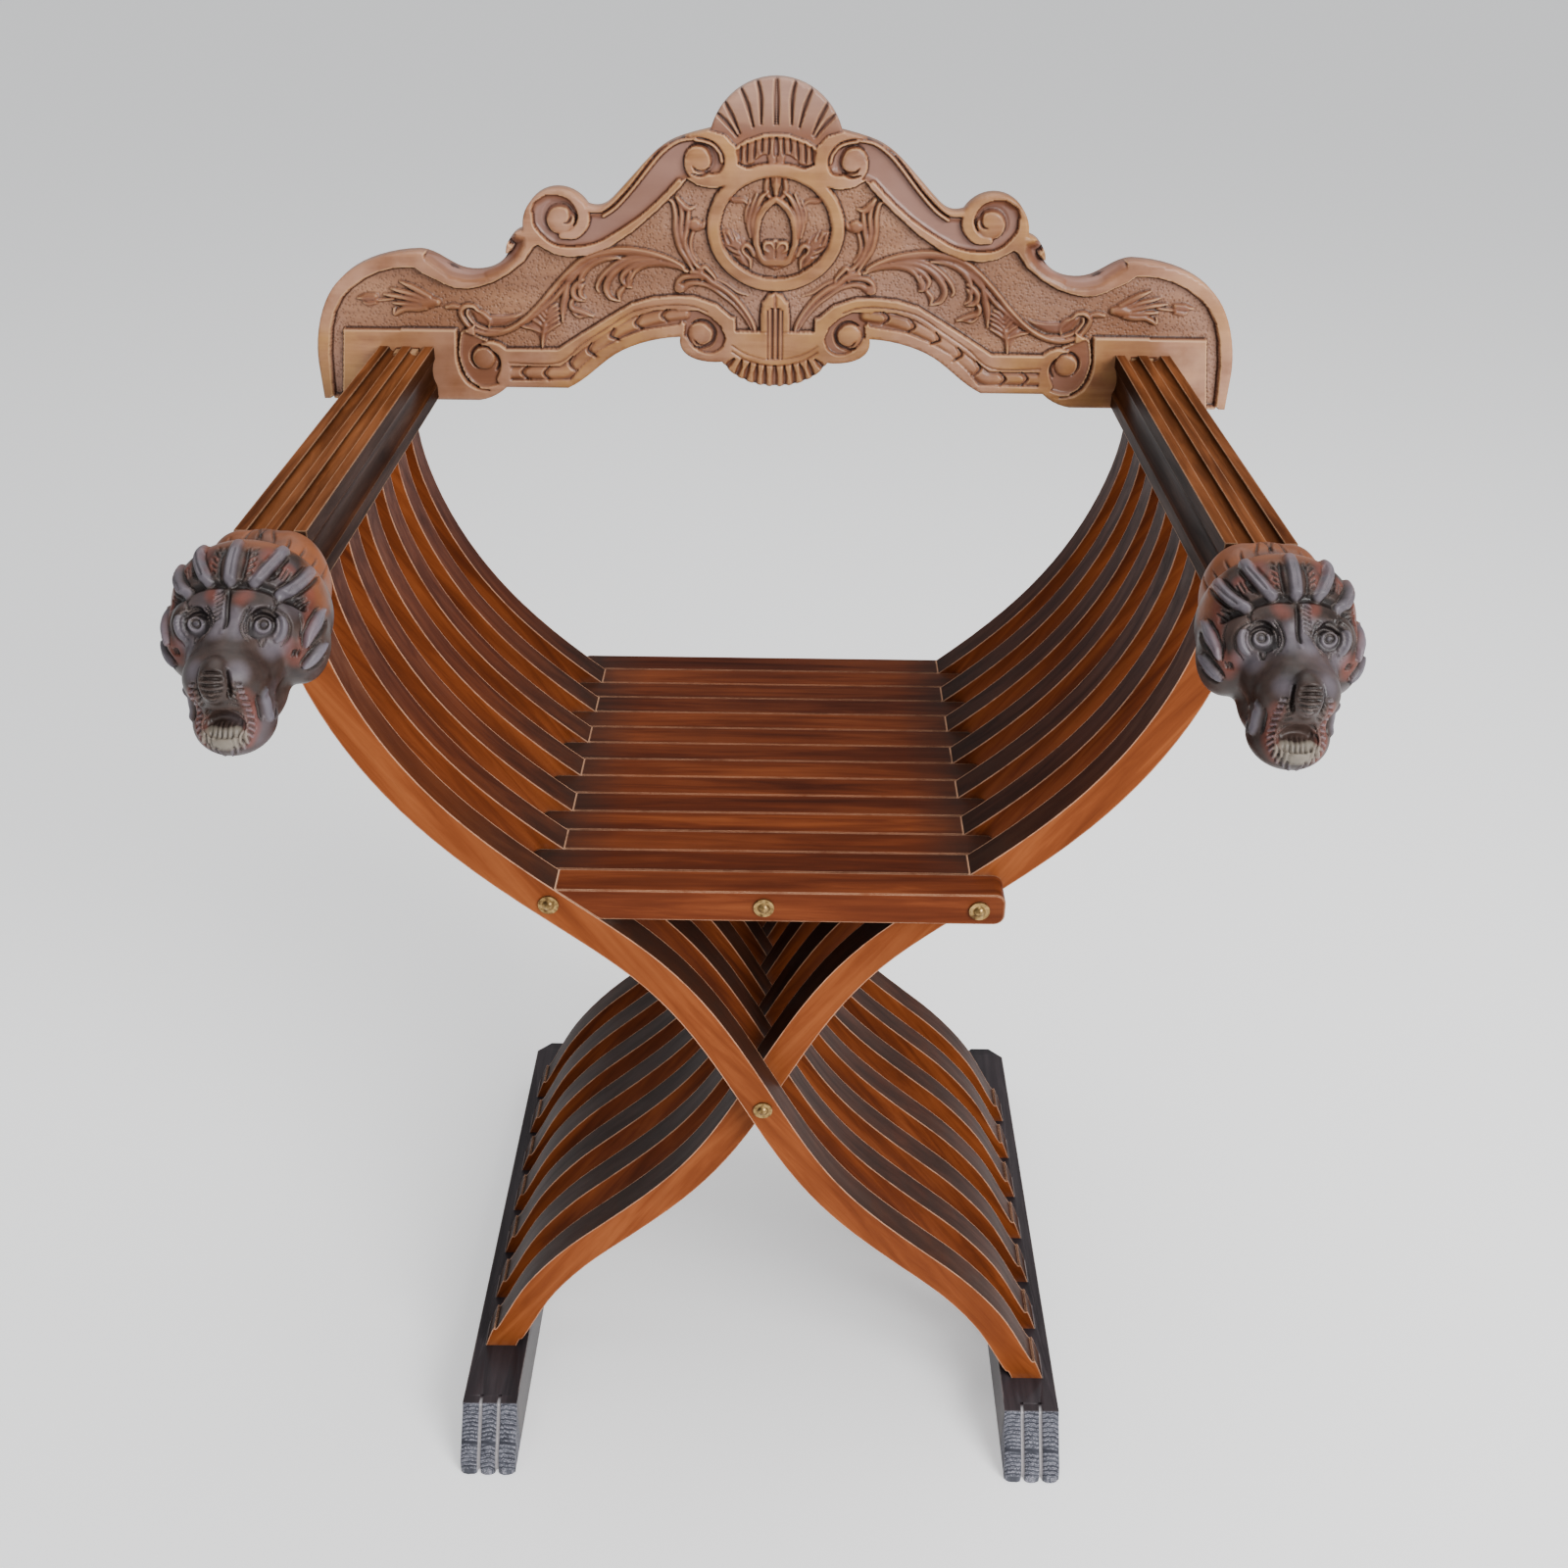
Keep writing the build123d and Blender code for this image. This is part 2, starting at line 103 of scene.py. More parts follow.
# ---- building finishes --------------------------------------------------------------
class Bench:
    """A node tree with short words for laying out its nodes."""

    def __init__(self, tree):
        self.tree = tree
        self.column = 0

    def node(self, kind, given=(), **settings):
        made = self.tree.nodes.new(kind if kind.startswith("Node") else "ShaderNode" + kind)
        self.column += 1
        made.location = (180 * (self.column % 12), -260 * (self.column // 12))
        for name, value in settings.items():
            setattr(made, name, value)
        for socket, value in dict(given).items():
            self.feed(made.inputs[socket], value)
        return made

    def feed(self, socket, value):
        if isinstance(value, bpy.types.NodeSocket):
            self.tree.links.new(value, socket)
        else:
            socket.default_value = value

    def here(self):
        return self.node("TexCoord").outputs["Object"]

    def mark(self, name):
        return self.node("Attribute", attribute_name=name).outputs["Fac"]

    def axis(self, where, name):
        return self.node("SeparateXYZ", {0: where}).outputs[name]

    def sum(self, kind, a, b=0.0, limit=False):
        return self.node("Math", {0: a, 1: b}, operation=kind, use_clamp=limit).outputs[0]

    def times(self, a, b, limit=False):
        return self.sum("MULTIPLY", a, b, limit)

    def blend(self, share, a, b, way="MIX"):
        made = self.node("Mix", data_type="RGBA", blend_type=way)
        for socket, value in ((0, share), (6, a), (7, b)):
            self.feed(made.inputs[socket], (*value, 1) if isinstance(value, tuple) else value)
        return made.outputs[2]

    def spread(self, value, low, high, to_low=0.0, to_high=1.0):
        given = {0: value, 1: low, 2: high, 3: to_low, 4: to_high}
        return self.node("MapRange", given, clamp=True).outputs[0]

    def place(self, where, scale=(1, 1, 1), turn=(0, 0, 0), shift=(0, 0, 0)):
        given = {"Vector": where, "Scale": scale, "Rotation": turn, "Location": shift}
        return self.node("Mapping", given).outputs[0]

    def noise(self, where, scale, detail=4.0, rough=0.6, warp=0.0):
        given = {"Vector": where, "Scale": scale, "Detail": detail, "Roughness": rough, "Distortion": warp}
        return self.node("TexNoise", given).outputs[0]

    def use(self, group, **given):
        made = self.node("Group", node_tree=group)
        for name, value in given.items():
            self.feed(made.inputs[name.capitalize()], value)
        return made.outputs

    def mask(self, group, where, amount):
        return self.use(group, place=where, amount=amount)["Mask"]


def shared_effect(name, takes, gives):
    """A node group with its sockets, and the bench to lay it out on."""
    group = bpy.data.node_groups.new(name, "ShaderNodeTree")
    for label, value in takes.items():
        kind = {tuple: "Color", float: "Float"}.get(type(value), "Vector")
        socket = group.interface.new_socket(label, in_out="INPUT", socket_type="NodeSocket" + kind)
        if value is not None:
            socket.default_value = value
    for label, kind in gives.items():
        group.interface.new_socket(label, in_out="OUTPUT", socket_type="NodeSocket" + kind)
    b = Bench(group)
    return group, b, b.node("NodeGroupInput").outputs, b.node("NodeGroupOutput").inputs


def make_wood_grain():
    """Long walnut streaks, fine pores and cloudy stain, with the grain along X."""
    group, b, given, out = shared_effect(
        "wood grain",
        {
            "Place": None,
            "Dark": (0.02, 0.006, 0.003, 1),
            "Middle": (0.1, 0.03, 0.01, 1),
            "Light": (0.2, 0.07, 0.03, 1),
        },
        {"Color": "Color", "Figure": "Float", "Height": "Float"},
    )
    streaks = b.noise(b.place(given["Place"], (1.6, 22, 22)), 5.0, 6.0, 0.62, 0.6)
    rings = b.noise(b.place(given["Place"], (0.9, 8, 8)), 4.0, 3.0, 0.5, 1.2)
    pores = b.noise(b.place(given["Place"], (14, 260, 260)), 6.0, 3.0)
    stain = b.noise(given["Place"], 9.0, 3.0)
    figure = b.sum("ADD", b.times(streaks, 0.6), b.times(rings, 0.4))
    low = b.blend(b.spread(figure, 0.36, 0.52), given["Dark"], given["Middle"])
    wood = b.blend(b.spread(figure, 0.50, 0.66), low, given["Light"])
    wood = b.blend(b.spread(stain, 0.42, 0.72, 0.0, 0.45), wood, given["Dark"])
    pore = b.spread(pores, 0.60, 0.74)
    b.feed(out["Color"], b.blend(b.times(pore, 0.35), wood, given["Dark"]))
    b.feed(out["Figure"], figure)
    b.feed(out["Height"], b.sum("SUBTRACT", b.times(figure, 0.4), b.times(pore, 0.3)))
    return group


def make_worn_edges():
    """Where hands and clothes have rubbed the stain off the sharp edges."""
    group, b, given, out = shared_effect("worn edges", {"Place": None, "Amount": 1.0}, {"Mask": "Float"})
    soft = b.node("Bevel", {"Radius": 0.0016}, samples=6).outputs[0]
    hard = b.node("NewGeometry").outputs["Normal"]
    both = b.node("VectorMath", {0: soft, 1: hard}, operation="DOT_PRODUCT").outputs["Value"]
    patchy = b.spread(b.noise(given["Place"], 55.0, 4.0, 0.65), 0.26, 0.52, 0.25, 1.0)
    b.feed(out["Mask"], b.times(b.times(b.spread(both, 0.985, 0.9), patchy), given["Amount"], True))
    return group


def make_dust():
    """Grey dust and old wax that stay in the hollows."""
    group, b, given, out = shared_effect("dust in hollows", {"Place": None, "Amount": 1.0}, {"Mask": "Float"})
    hollow = b.node("AmbientOcclusion", {"Distance": 0.012}, samples=6).outputs["AO"]
    patchy = b.spread(b.noise(given["Place"], 120.0, 4.0, 0.7), 0.35, 0.7)
    b.feed(out["Mask"], b.times(b.times(b.spread(hollow, 0.75, 0.2), patchy), given["Amount"], True))
    return group


wood_grain, worn_edges, dust_in_hollows = make_wood_grain(), make_worn_edges(), make_dust()


def blank_finish(name, coat=0.0, shine=0.3):
    """A new finish, its bench, and what lays on its colour, roughness, height and bumps."""
    finish = bpy.data.materials.new(name)
    finish.use_nodes = True
    finish.node_tree.nodes.clear()
    b = Bench(finish.node_tree)
    given = {"Specular IOR Level": shine, "Coat Weight": coat, "Coat Roughness": 0.22}
    shader = b.node("BsdfPrincipled", given)
    b.node("OutputMaterial", {"Surface": shader.outputs[0]})

    def lay_on(colour, roughness, height=None, strength=0.25, distance=0.0004, metal=0.0):
        b.feed(shader.inputs["Base Color"], colour)
        b.feed(shader.inputs["Roughness"], roughness)
        b.feed(shader.inputs["Metallic"], metal)
        if height:
            bump = b.node("Bump", {"Strength": strength, "Distance": distance, "Height": height})
            b.feed(shader.inputs["Normal"], bump.outputs[0])
        return finish

    return b, lay_on


def laid_grain(b, where, tones):
    dark, middle, light = ((*tone, 1) for tone in tones)
    return b.use(wood_grain, place=where, dark=dark, middle=middle, light=light)


def stained_wood(
    name, tones, worn, turn=(0, 0, 0), sides=1.0, gloss=0.42, wear=0.6, dust=0.0, shift=(0, 0, 0), painted_shade_band=None,
    lit="Y", shine=0.05,
):
    """Stained and waxed wood. turn lays the grain along the piece, and sides below 1
    darkens the faces that don't look along lit, partly a darker stain and partly painted shade.
    The band of painted shade gives the axis, where it starts, where it is thickest and how thick."""
    b, lay_on = blank_finish(name, shine=shine)
    here = b.here()
    grain = laid_grain(b, b.place(here, turn=turn, shift=shift), tones)
    wood = grain["Color"]
    if sides < 1:
        # Painted shade: faces that don't look along lit are darker, partly also a darker stain.
        facing = b.axis(b.node("NewGeometry").outputs["True Normal"], lit)
        front = b.spread(b.sum("ABSOLUTE", facing), 0.35, 0.85)
        shade = b.blend(front, (sides, sides * 0.92, sides * 0.9), (1, 1, 1))
        wood = b.blend(1.0, wood, shade, "MULTIPLY")
    if painted_shade_band:
        # A band of painted shade along one axis, kept off the faces that look along lit.
        axis, start, full, most = painted_shade_band
        painted_shade = b.spread(b.sum("ABSOLUTE", b.axis(here, axis)), start, full, 0.0, most)
        painted_shade = b.times(painted_shade, b.spread(b.noise(here, 45.0), 0.3, 0.62, 0.65, 1.0))
        if sides < 1:
            painted_shade = b.times(painted_shade, b.sum("SUBTRACT", 1.0, front))
        wood = b.blend(painted_shade, wood, (0.022, 0.014, 0.011))
    wood = b.blend(b.mask(worn_edges, here, wear), wood, worn)
    if dust:
        wood = b.blend(b.mask(dust_in_hollows, here, dust), wood, (0.25, 0.2, 0.16))
    return lay_on(wood, b.spread(grain["Figure"], 0.3, 0.7, gloss + 0.1, gloss - 0.08), grain["Height"])


def old_brass():
    b, lay_on = blank_finish("old brass")
    here = b.here()
    cloud = b.noise(here, 260.0, 5.0, 0.65)
    metal = b.blend(b.spread(cloud, 0.35, 0.65), (0.08, 0.042, 0.016), (0.42, 0.27, 0.1))
    metal = b.blend(b.mask(dust_in_hollows, here, 0.9), metal, (0.03, 0.02, 0.012))
    return lay_on(metal, b.spread(cloud, 0.3, 0.7, 0.5, 0.25), metal=0.9)


# ---- finishes -----------------------------------------------------------------------
LEG_TURN = radians(53.8)
ALONG_Y = (0, 0, radians(90))
slat_end = -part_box("seat_slat_right_hinged_03")[0][0]


def leg_wood(name, tones, turn, sides, shift):
    # Painted shade: the side faces darken from a little above the seat downwards.
    return stained_wood(
        name, tones, (0.66, 0.36, 0.22), (0, turn, 0), sides, 0.46, 0.85, 0.3, shift, ("Z", 0.55, 0.488, 0.72)
    )


# The inner layers take darker tones than the front ones: painted shade between the layers.
FRONT_LEG_TONES = (0.13, 0.03, 0.008), (0.215, 0.054, 0.014), (0.29, 0.085, 0.024)
SHADED_LEG_TONES = (0.065, 0.014, 0.0045), (0.15, 0.034, 0.009), (0.235, 0.06, 0.016)
leg_woods = {}
# The right legs' side faces are darker than the left legs': painted shade on the faces turned from the light.
for side, turn, front_sides, sides in (("left", -LEG_TURN, 0.36, 0.5), ("right", LEG_TURN, 0.22, 0.27)):
    front = leg_wood(f"front leg wood {side}", FRONT_LEG_TONES, turn, front_sides, (0.2, 0, 0.4))
    shaded_inner = [
        leg_wood(f"leg wood {side} {n}", SHADED_LEG_TONES, turn, sides, (0.31 * n, 0, 0.17 * n)) for n in range(3)
    ]
    leg_woods[side] = front, shaded_inner
# Each slat darkens towards its ends: painted shade where the slats run in between the legs.
slat_wood = [
    stained_wood(
        f"seat slat wood {n}", tones, (0.5, 0.27, 0.16), wear=0.75, dust=0.2, shift=(0.37 * n, 0, 0.11 * n),
        painted_shade_band=("X", slat_end - 0.035, slat_end + 0.006, 0.9),
    )
    for n, tones in enumerate((
        ((0.045, 0.0095, 0.0035), (0.1, 0.021, 0.006), (0.16, 0.038, 0.011)),
        ((0.06, 0.012, 0.004), (0.125, 0.027, 0.0075), (0.2, 0.05, 0.014)),
        ((0.035, 0.0075, 0.003), (0.085, 0.0175, 0.0055), (0.14, 0.033, 0.0095)),
    ))
]
# The front slat darkens past the other slats' ends: painted shade between the legs.
front_slat_wood = stained_wood(
    "front slat wood", ((0.07, 0.0145, 0.005), (0.135, 0.031, 0.0095), (0.205, 0.054, 0.0165)),
    (0.56, 0.33, 0.2), wear=0.85, dust=0.2, shift=(0.2, 0, 0.3),
    painted_shade_band=("X", slat_end + 0.004, slat_end + 0.03, 0.3),
)
# The arms' sides are darker than their tops: painted shade.
arm_wood = stained_wood(
    "arm wood", ((0.054, 0.015, 0.005), (0.135, 0.041, 0.0125), (0.225, 0.076, 0.026)),
    (0.42, 0.24, 0.14), ALONG_Y, sides=0.2, dust=0.1, lit="Z", shine=0.015,
)
bare_wood = stained_wood(
    "bare dowel wood", ((0.2, 0.1, 0.05), (0.4, 0.22, 0.11), (0.52, 0.32, 0.17)), (0.55, 0.35, 0.2), ALONG_Y,
    gloss=0.6, wear=0.1,
)
brass = old_brass()


def finish_for(name):
    layer = int(name[-2:]) if name[-2:].isdigit() else 0
    if name.startswith("leg"):
        front, shaded_inner = leg_woods[name.split("_")[1]]
        # Layers behind the front ones take the darker copies: painted shade between the layers.
        return front if layer < 3 else shaded_inner[layer % 3]
    if layer:
        return front_slat_wood if layer == 1 else slat_wood[layer % 3]
    if name.endswith(("_dowel", "_key")):
        return bare_wood
    return arm_wood if name.endswith("_arm") else brass


for name, node in nodes.items():
    if not name.endswith(("_rail", "_foot", "_head")):
        finish_on(node, finish_for(name))


# ---- carved back rail ---------------------------------------------------------------
# Heights are in millimetres above the sunk ground, and lines are drawn in millimetres from
# the rail's middle and above its foot.
RELIEF = 6.0
DEEPEST, THINNEST = -0.6, 0.05


def spline(points, closed=False, step=0.8):
    """Evenly stepped points along a smooth line through the given ones."""
    p = np.array(points, float)
    if len(p) < 3 and not closed:
        n = max(2, int(np.linalg.norm(p[-1] - p[0]) / step) + 1)
        return p[0] + (p[-1] - p[0]) * np.linspace(0, 1, n)[:, None]
    ends = (p[-1], p[:2]) if closed else (2 * p[0] - p[1], 2 * p[-1] - p[-2])
    q = np.vstack([ends[0], p, ends[1]])
    out = []
    for a, b, c, d in zip(q, q[1:], q[2:], q[3:]):
        n = max(2, int(np.linalg.norm(c - b) / step) + 1)
        t = np.arange(n)[:, None] / n
        bent = 2 * b + (c - a) * t + (2 * a - 5 * b + 4 * c - d) * t**2
        out.append(0.5 * (bent + (3 * b - a - 3 * c + d) * t**3))
    if not closed:
        out.append(p[-1:])
    return np.vstack(out)


def dense(points, step=0.8):
    """The straight-sided outline with points all along it."""
    out = []
    p = np.array(points, float)
    for a, b in zip(p, np.roll(p, -1, axis=0)):
        n = max(1, int(np.linalg.norm(b - a) / step))
        out.append(a + (b - a) * (np.arange(n) / n)[:, None])
    return np.vstack(out)


def inside(outline, grid):
    x, z = grid[..., 0], grid[..., 1]
    found = np.zeros(x.shape, bool)
    for (x0, z0), (x1, z1) in zip(outline, np.roll(outline, -1, axis=0)):
        if z0 != z1:
            found ^= ((z0 > z) != (z1 > z)) & (x < (x1 - x0) * (z - z0) / (z1 - z0) + x0)
    return found


class Carving:
    """Heights over one half of the rail, and the tools that shape them."""

    def __init__(self, cell, low, high):
        self.cell, self.low = cell, np.array(low, float)
        self.x = np.arange(low[0], high[0] + cell, cell)
        self.z = np.arange(low[1], high[1] + cell, cell)
        self.height = np.full((len(self.z), len(self.x)), RELIEF)
        self.punched = np.zeros_like(self.height)

    def window(self, points, reach):
        lo = (points.min(0) - reach - self.low) / self.cell
        hi = (points.max(0) + reach - self.low) / self.cell
        (i0, k0), (i1, k1) = np.clip(np.array([lo, hi + 2]).astype(int), 0, self.height.shape[::-1])
        return (slice(k0, k1), slice(i0, i1)), np.stack(np.meshgrid(self.x[i0:i1], self.z[k0:k1]), -1)

    def measure(self, line, reach):
        """For each cell near a line: how far off it, how far along it and which side."""
        where, grid = self.window(line, reach)
        far = np.full(grid.shape[:2], 1e9)
        which = np.zeros(far.shape, int)
        rows, columns = where[0].start, where[1].start
        for start in range(0, len(line), 12):
            part = line[start : start + 12]
            (kk, ii), near = self.window(part, reach)
            spot = (slice(kk.start - rows, kk.stop - rows), slice(ii.start - columns, ii.stop - columns))
            gap = ((near[:, :, None, :] - part) ** 2).sum(-1)
            best = gap.argmin(-1)
            value = np.take_along_axis(gap, best[..., None], -1)[..., 0]
            closer = value < far[spot]
            far[spot][closer] = value[closer]
            which[spot][closer] = best[closer] + start
        run = np.gradient(line, axis=0)
        run = run / (np.linalg.norm(run, axis=1)[:, None] + 1e-9)
        off = grid - line[which]
        side = run[which][..., 0] * off[..., 1] - run[which][..., 1] * off[..., 0]
        return where, grid, np.sqrt(far), which / max(1, len(line) - 1), side

    def follow(self, points, widths):
        """The cells along a stroke: where, how far off it, which side and its half width."""
        widths = np.atleast_1d(widths)
        where, _, far, along, side = self.measure(spline(points), widths.max() + 1)
        half = np.interp(along, np.linspace(0, 1, len(widths)), widths)
        return where, far, side, np.maximum(half, THINNEST)

    def keep(self, where, level, mask, punched=0):
        self.height[where][mask] = level[mask]
        self.punched[where][mask] = punched

    def raise_to(self, where, level, mask):
        part = self.height[where]
        taller = mask & (level > part)
        part[taller] = level[taller]
        self.punched[where][mask] = 0

    def band(self, points, widths, top=RELIEF, ease=1.0, fall=1.6):
        """Flat-topped band with eased shoulders."""
        where, far, _, half = self.follow(points, widths)
        self.raise_to(where, top - fall * np.clip((far - (half - ease)) / ease, 0, 1) ** 2, far < half)

    def roll(self, points, widths, top, base=0.0, lean=0.0):
        """Half-round rib. lean moves its crest towards the left or right of its run."""
        where, far, side, half = self.follow(points, widths)
        share = np.clip(side / half, -1, 1)
        bent = np.abs(share - lean) / np.where(share > lean, 1 - lean, 1 + lean)
        bent = np.maximum(bent, far / half * (1 - abs(lean)))
        self.raise_to(where, base + (top - base) * np.sqrt(np.clip(1 - bent**2, 0, 1)), far < half)

    def gouge(self, points, widths, depth):
        where, far, _, half = self.follow(points, widths)
        cut = depth * np.clip(1 - (far / half) ** 2, 0, 1)
        part = self.height[where]
        part[...] = np.where(cut > 0, np.maximum(part - cut, np.minimum(part, DEEPEST)), part)

    def field(
        self, points, top, ease=1.0, fall=1.4, smooth=False, put=False, punched=0, hollow=None, tilt=None
    ):
        """Area with an outline, raised or put to a level, eased round its edge. It may be
        hollowed by a depth within a reach of its edge, or tilt back below a height."""
        outline = spline(points, True) if smooth else dense(points)
        reach = max(ease, hollow[1] if hollow else 0) + 0.5
        where, grid, far, _, _ = self.measure(outline, reach)
        level = top - fall * np.clip(1 - far / ease, 0, 1) ** 2
        if hollow:
            level = level - hollow[0] * np.clip(far / hollow[1], 0, 1) ** 0.6
        if tilt:
            level = level - tilt[0] * np.clip((tilt[1] - grid[..., 1]) / tilt[2], 0, 1)
        if put:
            self.keep(where, level, inside(outline, grid), punched)
        else:
            self.raise_to(where, level, inside(outline, grid))

    def bevel(self, rim, outline, start, reach, drop):
        """Slope from behind a rim towards the board's rear edge."""
        where, grid, far, _, side = self.measure(spline(rim), reach + start)
        level = RELIEF - 0.8 - drop * np.clip((far - start) / reach, 0, 1) ** 1.2
        self.keep(where, level, (side < 0) & (far < reach + start) & inside(dense(outline), grid))

    def boss(self, centre, radius, top=RELIEF, fall=1.6, oval=1.0):
        x, z = centre
        turn = np.linspace(0, 2 * pi, 40, endpoint=False)
        where, grid = self.window(np.c_[x + radius * np.cos(turn), z + radius * oval * np.sin(turn)], 1)
        far = np.hypot(grid[..., 0] - x, (grid[..., 1] - z) / oval) / radius
        self.raise_to(where, top - fall * far**4, far < 1)


def carve_rail(c):
    """One half of the face, drawn in millimetres from the middle and above the foot."""
    # punched ground between the borders
    c.field(
        [(331, -9), (330.5, 15), (329.5, 33.5), (326.5, 52), (322.5, 64), (315.5, 75), (308.5, 81.5),
        (298, 88.5), (288, 93), (276.5, 96), (265.5, 97), (260, 96.5), (255, 92.5), (247.5, 89),
        (240.5, 85.5), (232.5, 82.5), (223.5, 82), (214, 84), (204.5, 87), (193.5, 93), (181.5, 102),
        (174, 112), (170.5, 114), (159, 107.5), (148, 105.5), (135, 107), (119.5, 112.5),
        (102.5, 123.5), (84.5, 138.5), (68, 154), (63, 160.5), (55.5, 156), (48, 154.5), (41, 154.5),
        (48, 156.5), (0, 156.5), (0, 53.5), (29, 53.5), (29.5, 63), (32.5, 64), (42.5, 72.5),
        (55.5, 77), (59.5, 78), (72, 78.5), (89, 77), (104.5, 72.5), (121.5, 62.5), (142, 50),
        (160, 38.5), (198, 38), (210.5, 43.5), (222.5, 43.5), (228, 51.5), (221, 55.5), (221, 1.5),
        (333, 1.5)], 0, ease=1, fall=-6, put=True, punched=1,
    )
    # ground inside the round frame and under the crest's leaves
    c.field(
        [(-2, 85), (1.5, 85), (8.5, 85.5), (15.5, 87.5), (22, 90), (28, 93.5), (33.5, 97.5),
        (38, 102.5), (41.5, 108), (44.5, 114), (46, 120.5), (46.5, 127), (46, 133), (44.5, 139.5),
        (41.5, 145.5), (38, 151), (33.5, 156), (28, 160), (22, 163.5), (15.5, 166), (8.5, 168),
        (1.5, 168.5), (-2, 169)], 0, ease=0.5, fall=0, put=True, punched=1,
    )
    c.field(
        [(-2, 163.5), (21.5, 168), (29, 171), (28, 181), (21.5, 186), (9.5, 189.5), (0.5, 190.5),
        (-2, 190.5)], 1.2, ease=0.8, fall=-2, put=True,
    )
    # upper band: cove between its rim and its lower bead
    c.field(
        [(133, 136), (123.5, 136.5), (114.5, 142.5), (102.5, 154.5), (83.5, 177), (70, 187),
        (57, 189.5), (47.5, 190), (55, 188), (44.5, 185.5), (37.5, 179), (35.5, 172.5), (37, 165),
        (44.5, 161.5), (58.5, 162), (68, 158), (80.5, 145.5), (96, 132.5), (113, 121.5), (128.5, 113.5),
        (145, 110.5), (159, 112), (168.5, 118.5), (174.5, 126.5), (175.5, 135), (171.5, 143),
        (163, 148), (155.5, 148.5), (145.5, 146), (141, 139)], 4, ease=0.5, fall=0, put=True,
        hollow=(3.6, 4.6),
    )
    c.roll(
        [(122.5, 134), (113, 140.5), (101, 153), (82, 175), (69, 184.5), (56.5, 187), (49, 188),
        (57, 186.5), (45.5, 183.5), (39.5, 177.5), (38, 172)], 1.25, 5.5, 2.4,
    )
    c.gouge(
        [(133, 136), (123.5, 136.5), (114.5, 142.5), (102.5, 154.5), (83.5, 177), (70, 187),
        (57, 189.5), (47.5, 190), (55, 188), (44.5, 185.5), (37.5, 179), (35.5, 172.5), (37, 165)], 1,
        3,
    )
    c.band(
        [(175.5, 135), (174.5, 126.5), (168.5, 118.5), (159, 112), (145, 110.5), (128.5, 113.5),
        (113, 121.5), (96, 132.5), (80.5, 145.5), (68, 158)], [2.6, 2.4, 2, 1.9, 1.9, 1.9, 1.9, 1.9,
        1.9, 1.9], 6, ease=1, fall=1.2,
    )
    # volutes: a spiral band that runs into its boss
    c.band(
        [(145, 109.5), (159, 111), (170, 117.5), (176, 126.5), (176.5, 135), (174, 143), (167, 149),
        (156.5, 151), (146, 148.5), (139, 142), (136.5, 134), (138.5, 127), (144.5, 121.5),
        (152.5, 120.5)], [1.8, 2.2, 3, 3.3, 3.2, 2.8, 2.4, 2.3, 2.8, 3.6, 4.3, 4.4, 4, 2.6], 6,
        ease=1.6, fall=1.5,
    )
    c.boss((153.5, 131.5), 10.3)
    c.gouge(
        [(160.5, 123), (162.5, 125.5), (164, 128.5), (164.5, 132), (163.5, 135), (162, 138), (160, 140),
        (157, 141.5), (153.5, 142), (150, 141.5), (147, 140), (145, 138), (143.5, 135), (142.5, 132),
        (143, 128.5)], [0.5, 1.8, 2.2, 2.2, 2, 1.5, 0.6], 4.4,
    )
    c.gouge([(147.5, 140), (145.5, 134.5), (147.5, 130), (151, 129)], [0.6, 1.6, 1.4, 0.3], 3.4)
    c.band(
        [(67, 190), (55, 190.5), (44.5, 189), (36.5, 184), (32, 176.5), (32, 168), (36.5, 161),
        (44.5, 159), (53, 161), (60, 166), (62, 172)], [2.5, 2.5, 2.8, 3.6, 4.5, 4.8, 4.8, 4.6, 4.2,
        3.6, 2.5], 6, ease=1.6, fall=1.5,
    )
    c.boss((54.5, 173), 9.6)
    c.gouge(
        [(61.5, 180), (59, 182), (56, 183), (53, 183), (49.5, 182), (47, 180), (45.5, 177), (44.5, 174),
        (44.5, 171), (45.5, 168), (47.5, 165.5), (50, 163.5), (53.5, 162.5), (56.5, 163), (59.5, 164)],
        [0.5, 1.7, 2.1, 2.1, 1.9, 1.4, 0.5], 4.2,
    )
    c.gouge([(58.5, 169), (56, 166), (52, 165), (47, 167)], [0.3, 1.3, 1.5, 1], 3.4)
    c.field(
        [(70, 69), (57, 69), (47.5, 64.5), (39.5, 57.5), (36, 48.5), (39, 39.5), (46.5, 34.5), (56, 37),
        (62.5, 41.5), (67, 49.5), (66, 58.5), (70, 62.5)], 2.6, ease=1.5, fall=-1.5, put=True,
    )
    c.band(
        [(69.5, 76), (57, 74), (46, 69.5), (37, 62), (33, 52.5), (33.5, 43), (39, 36.5), (47, 33.5),
        (56, 35.5), (63, 41), (66.5, 47.5)], [3, 3, 3.2, 3.4, 3.6, 3.8, 3.9, 3.8, 3.6, 3.4, 2.5], 6,
        ease=1.5, fall=1.5,
    )
    c.boss((54.5, 51), 9.2)
    c.gouge(
        [(61.5, 58), (59, 59.5), (56, 60.5), (53, 60.5), (50, 59.5), (47.5, 57.5), (45.5, 55),
        (44.5, 52), (45, 49), (46, 46), (48, 43.5), (50.5, 42), (53.5, 41), (56.5, 41), (59.5, 42)],
        [0.5, 1.6, 2, 2, 1.8, 1.3, 0.5], 4.2,
    )
    c.gouge([(59.5, 47.5), (57, 44), (53, 42.5), (47.5, 45)], [0.3, 1.2, 1.4, 1], 3.4)
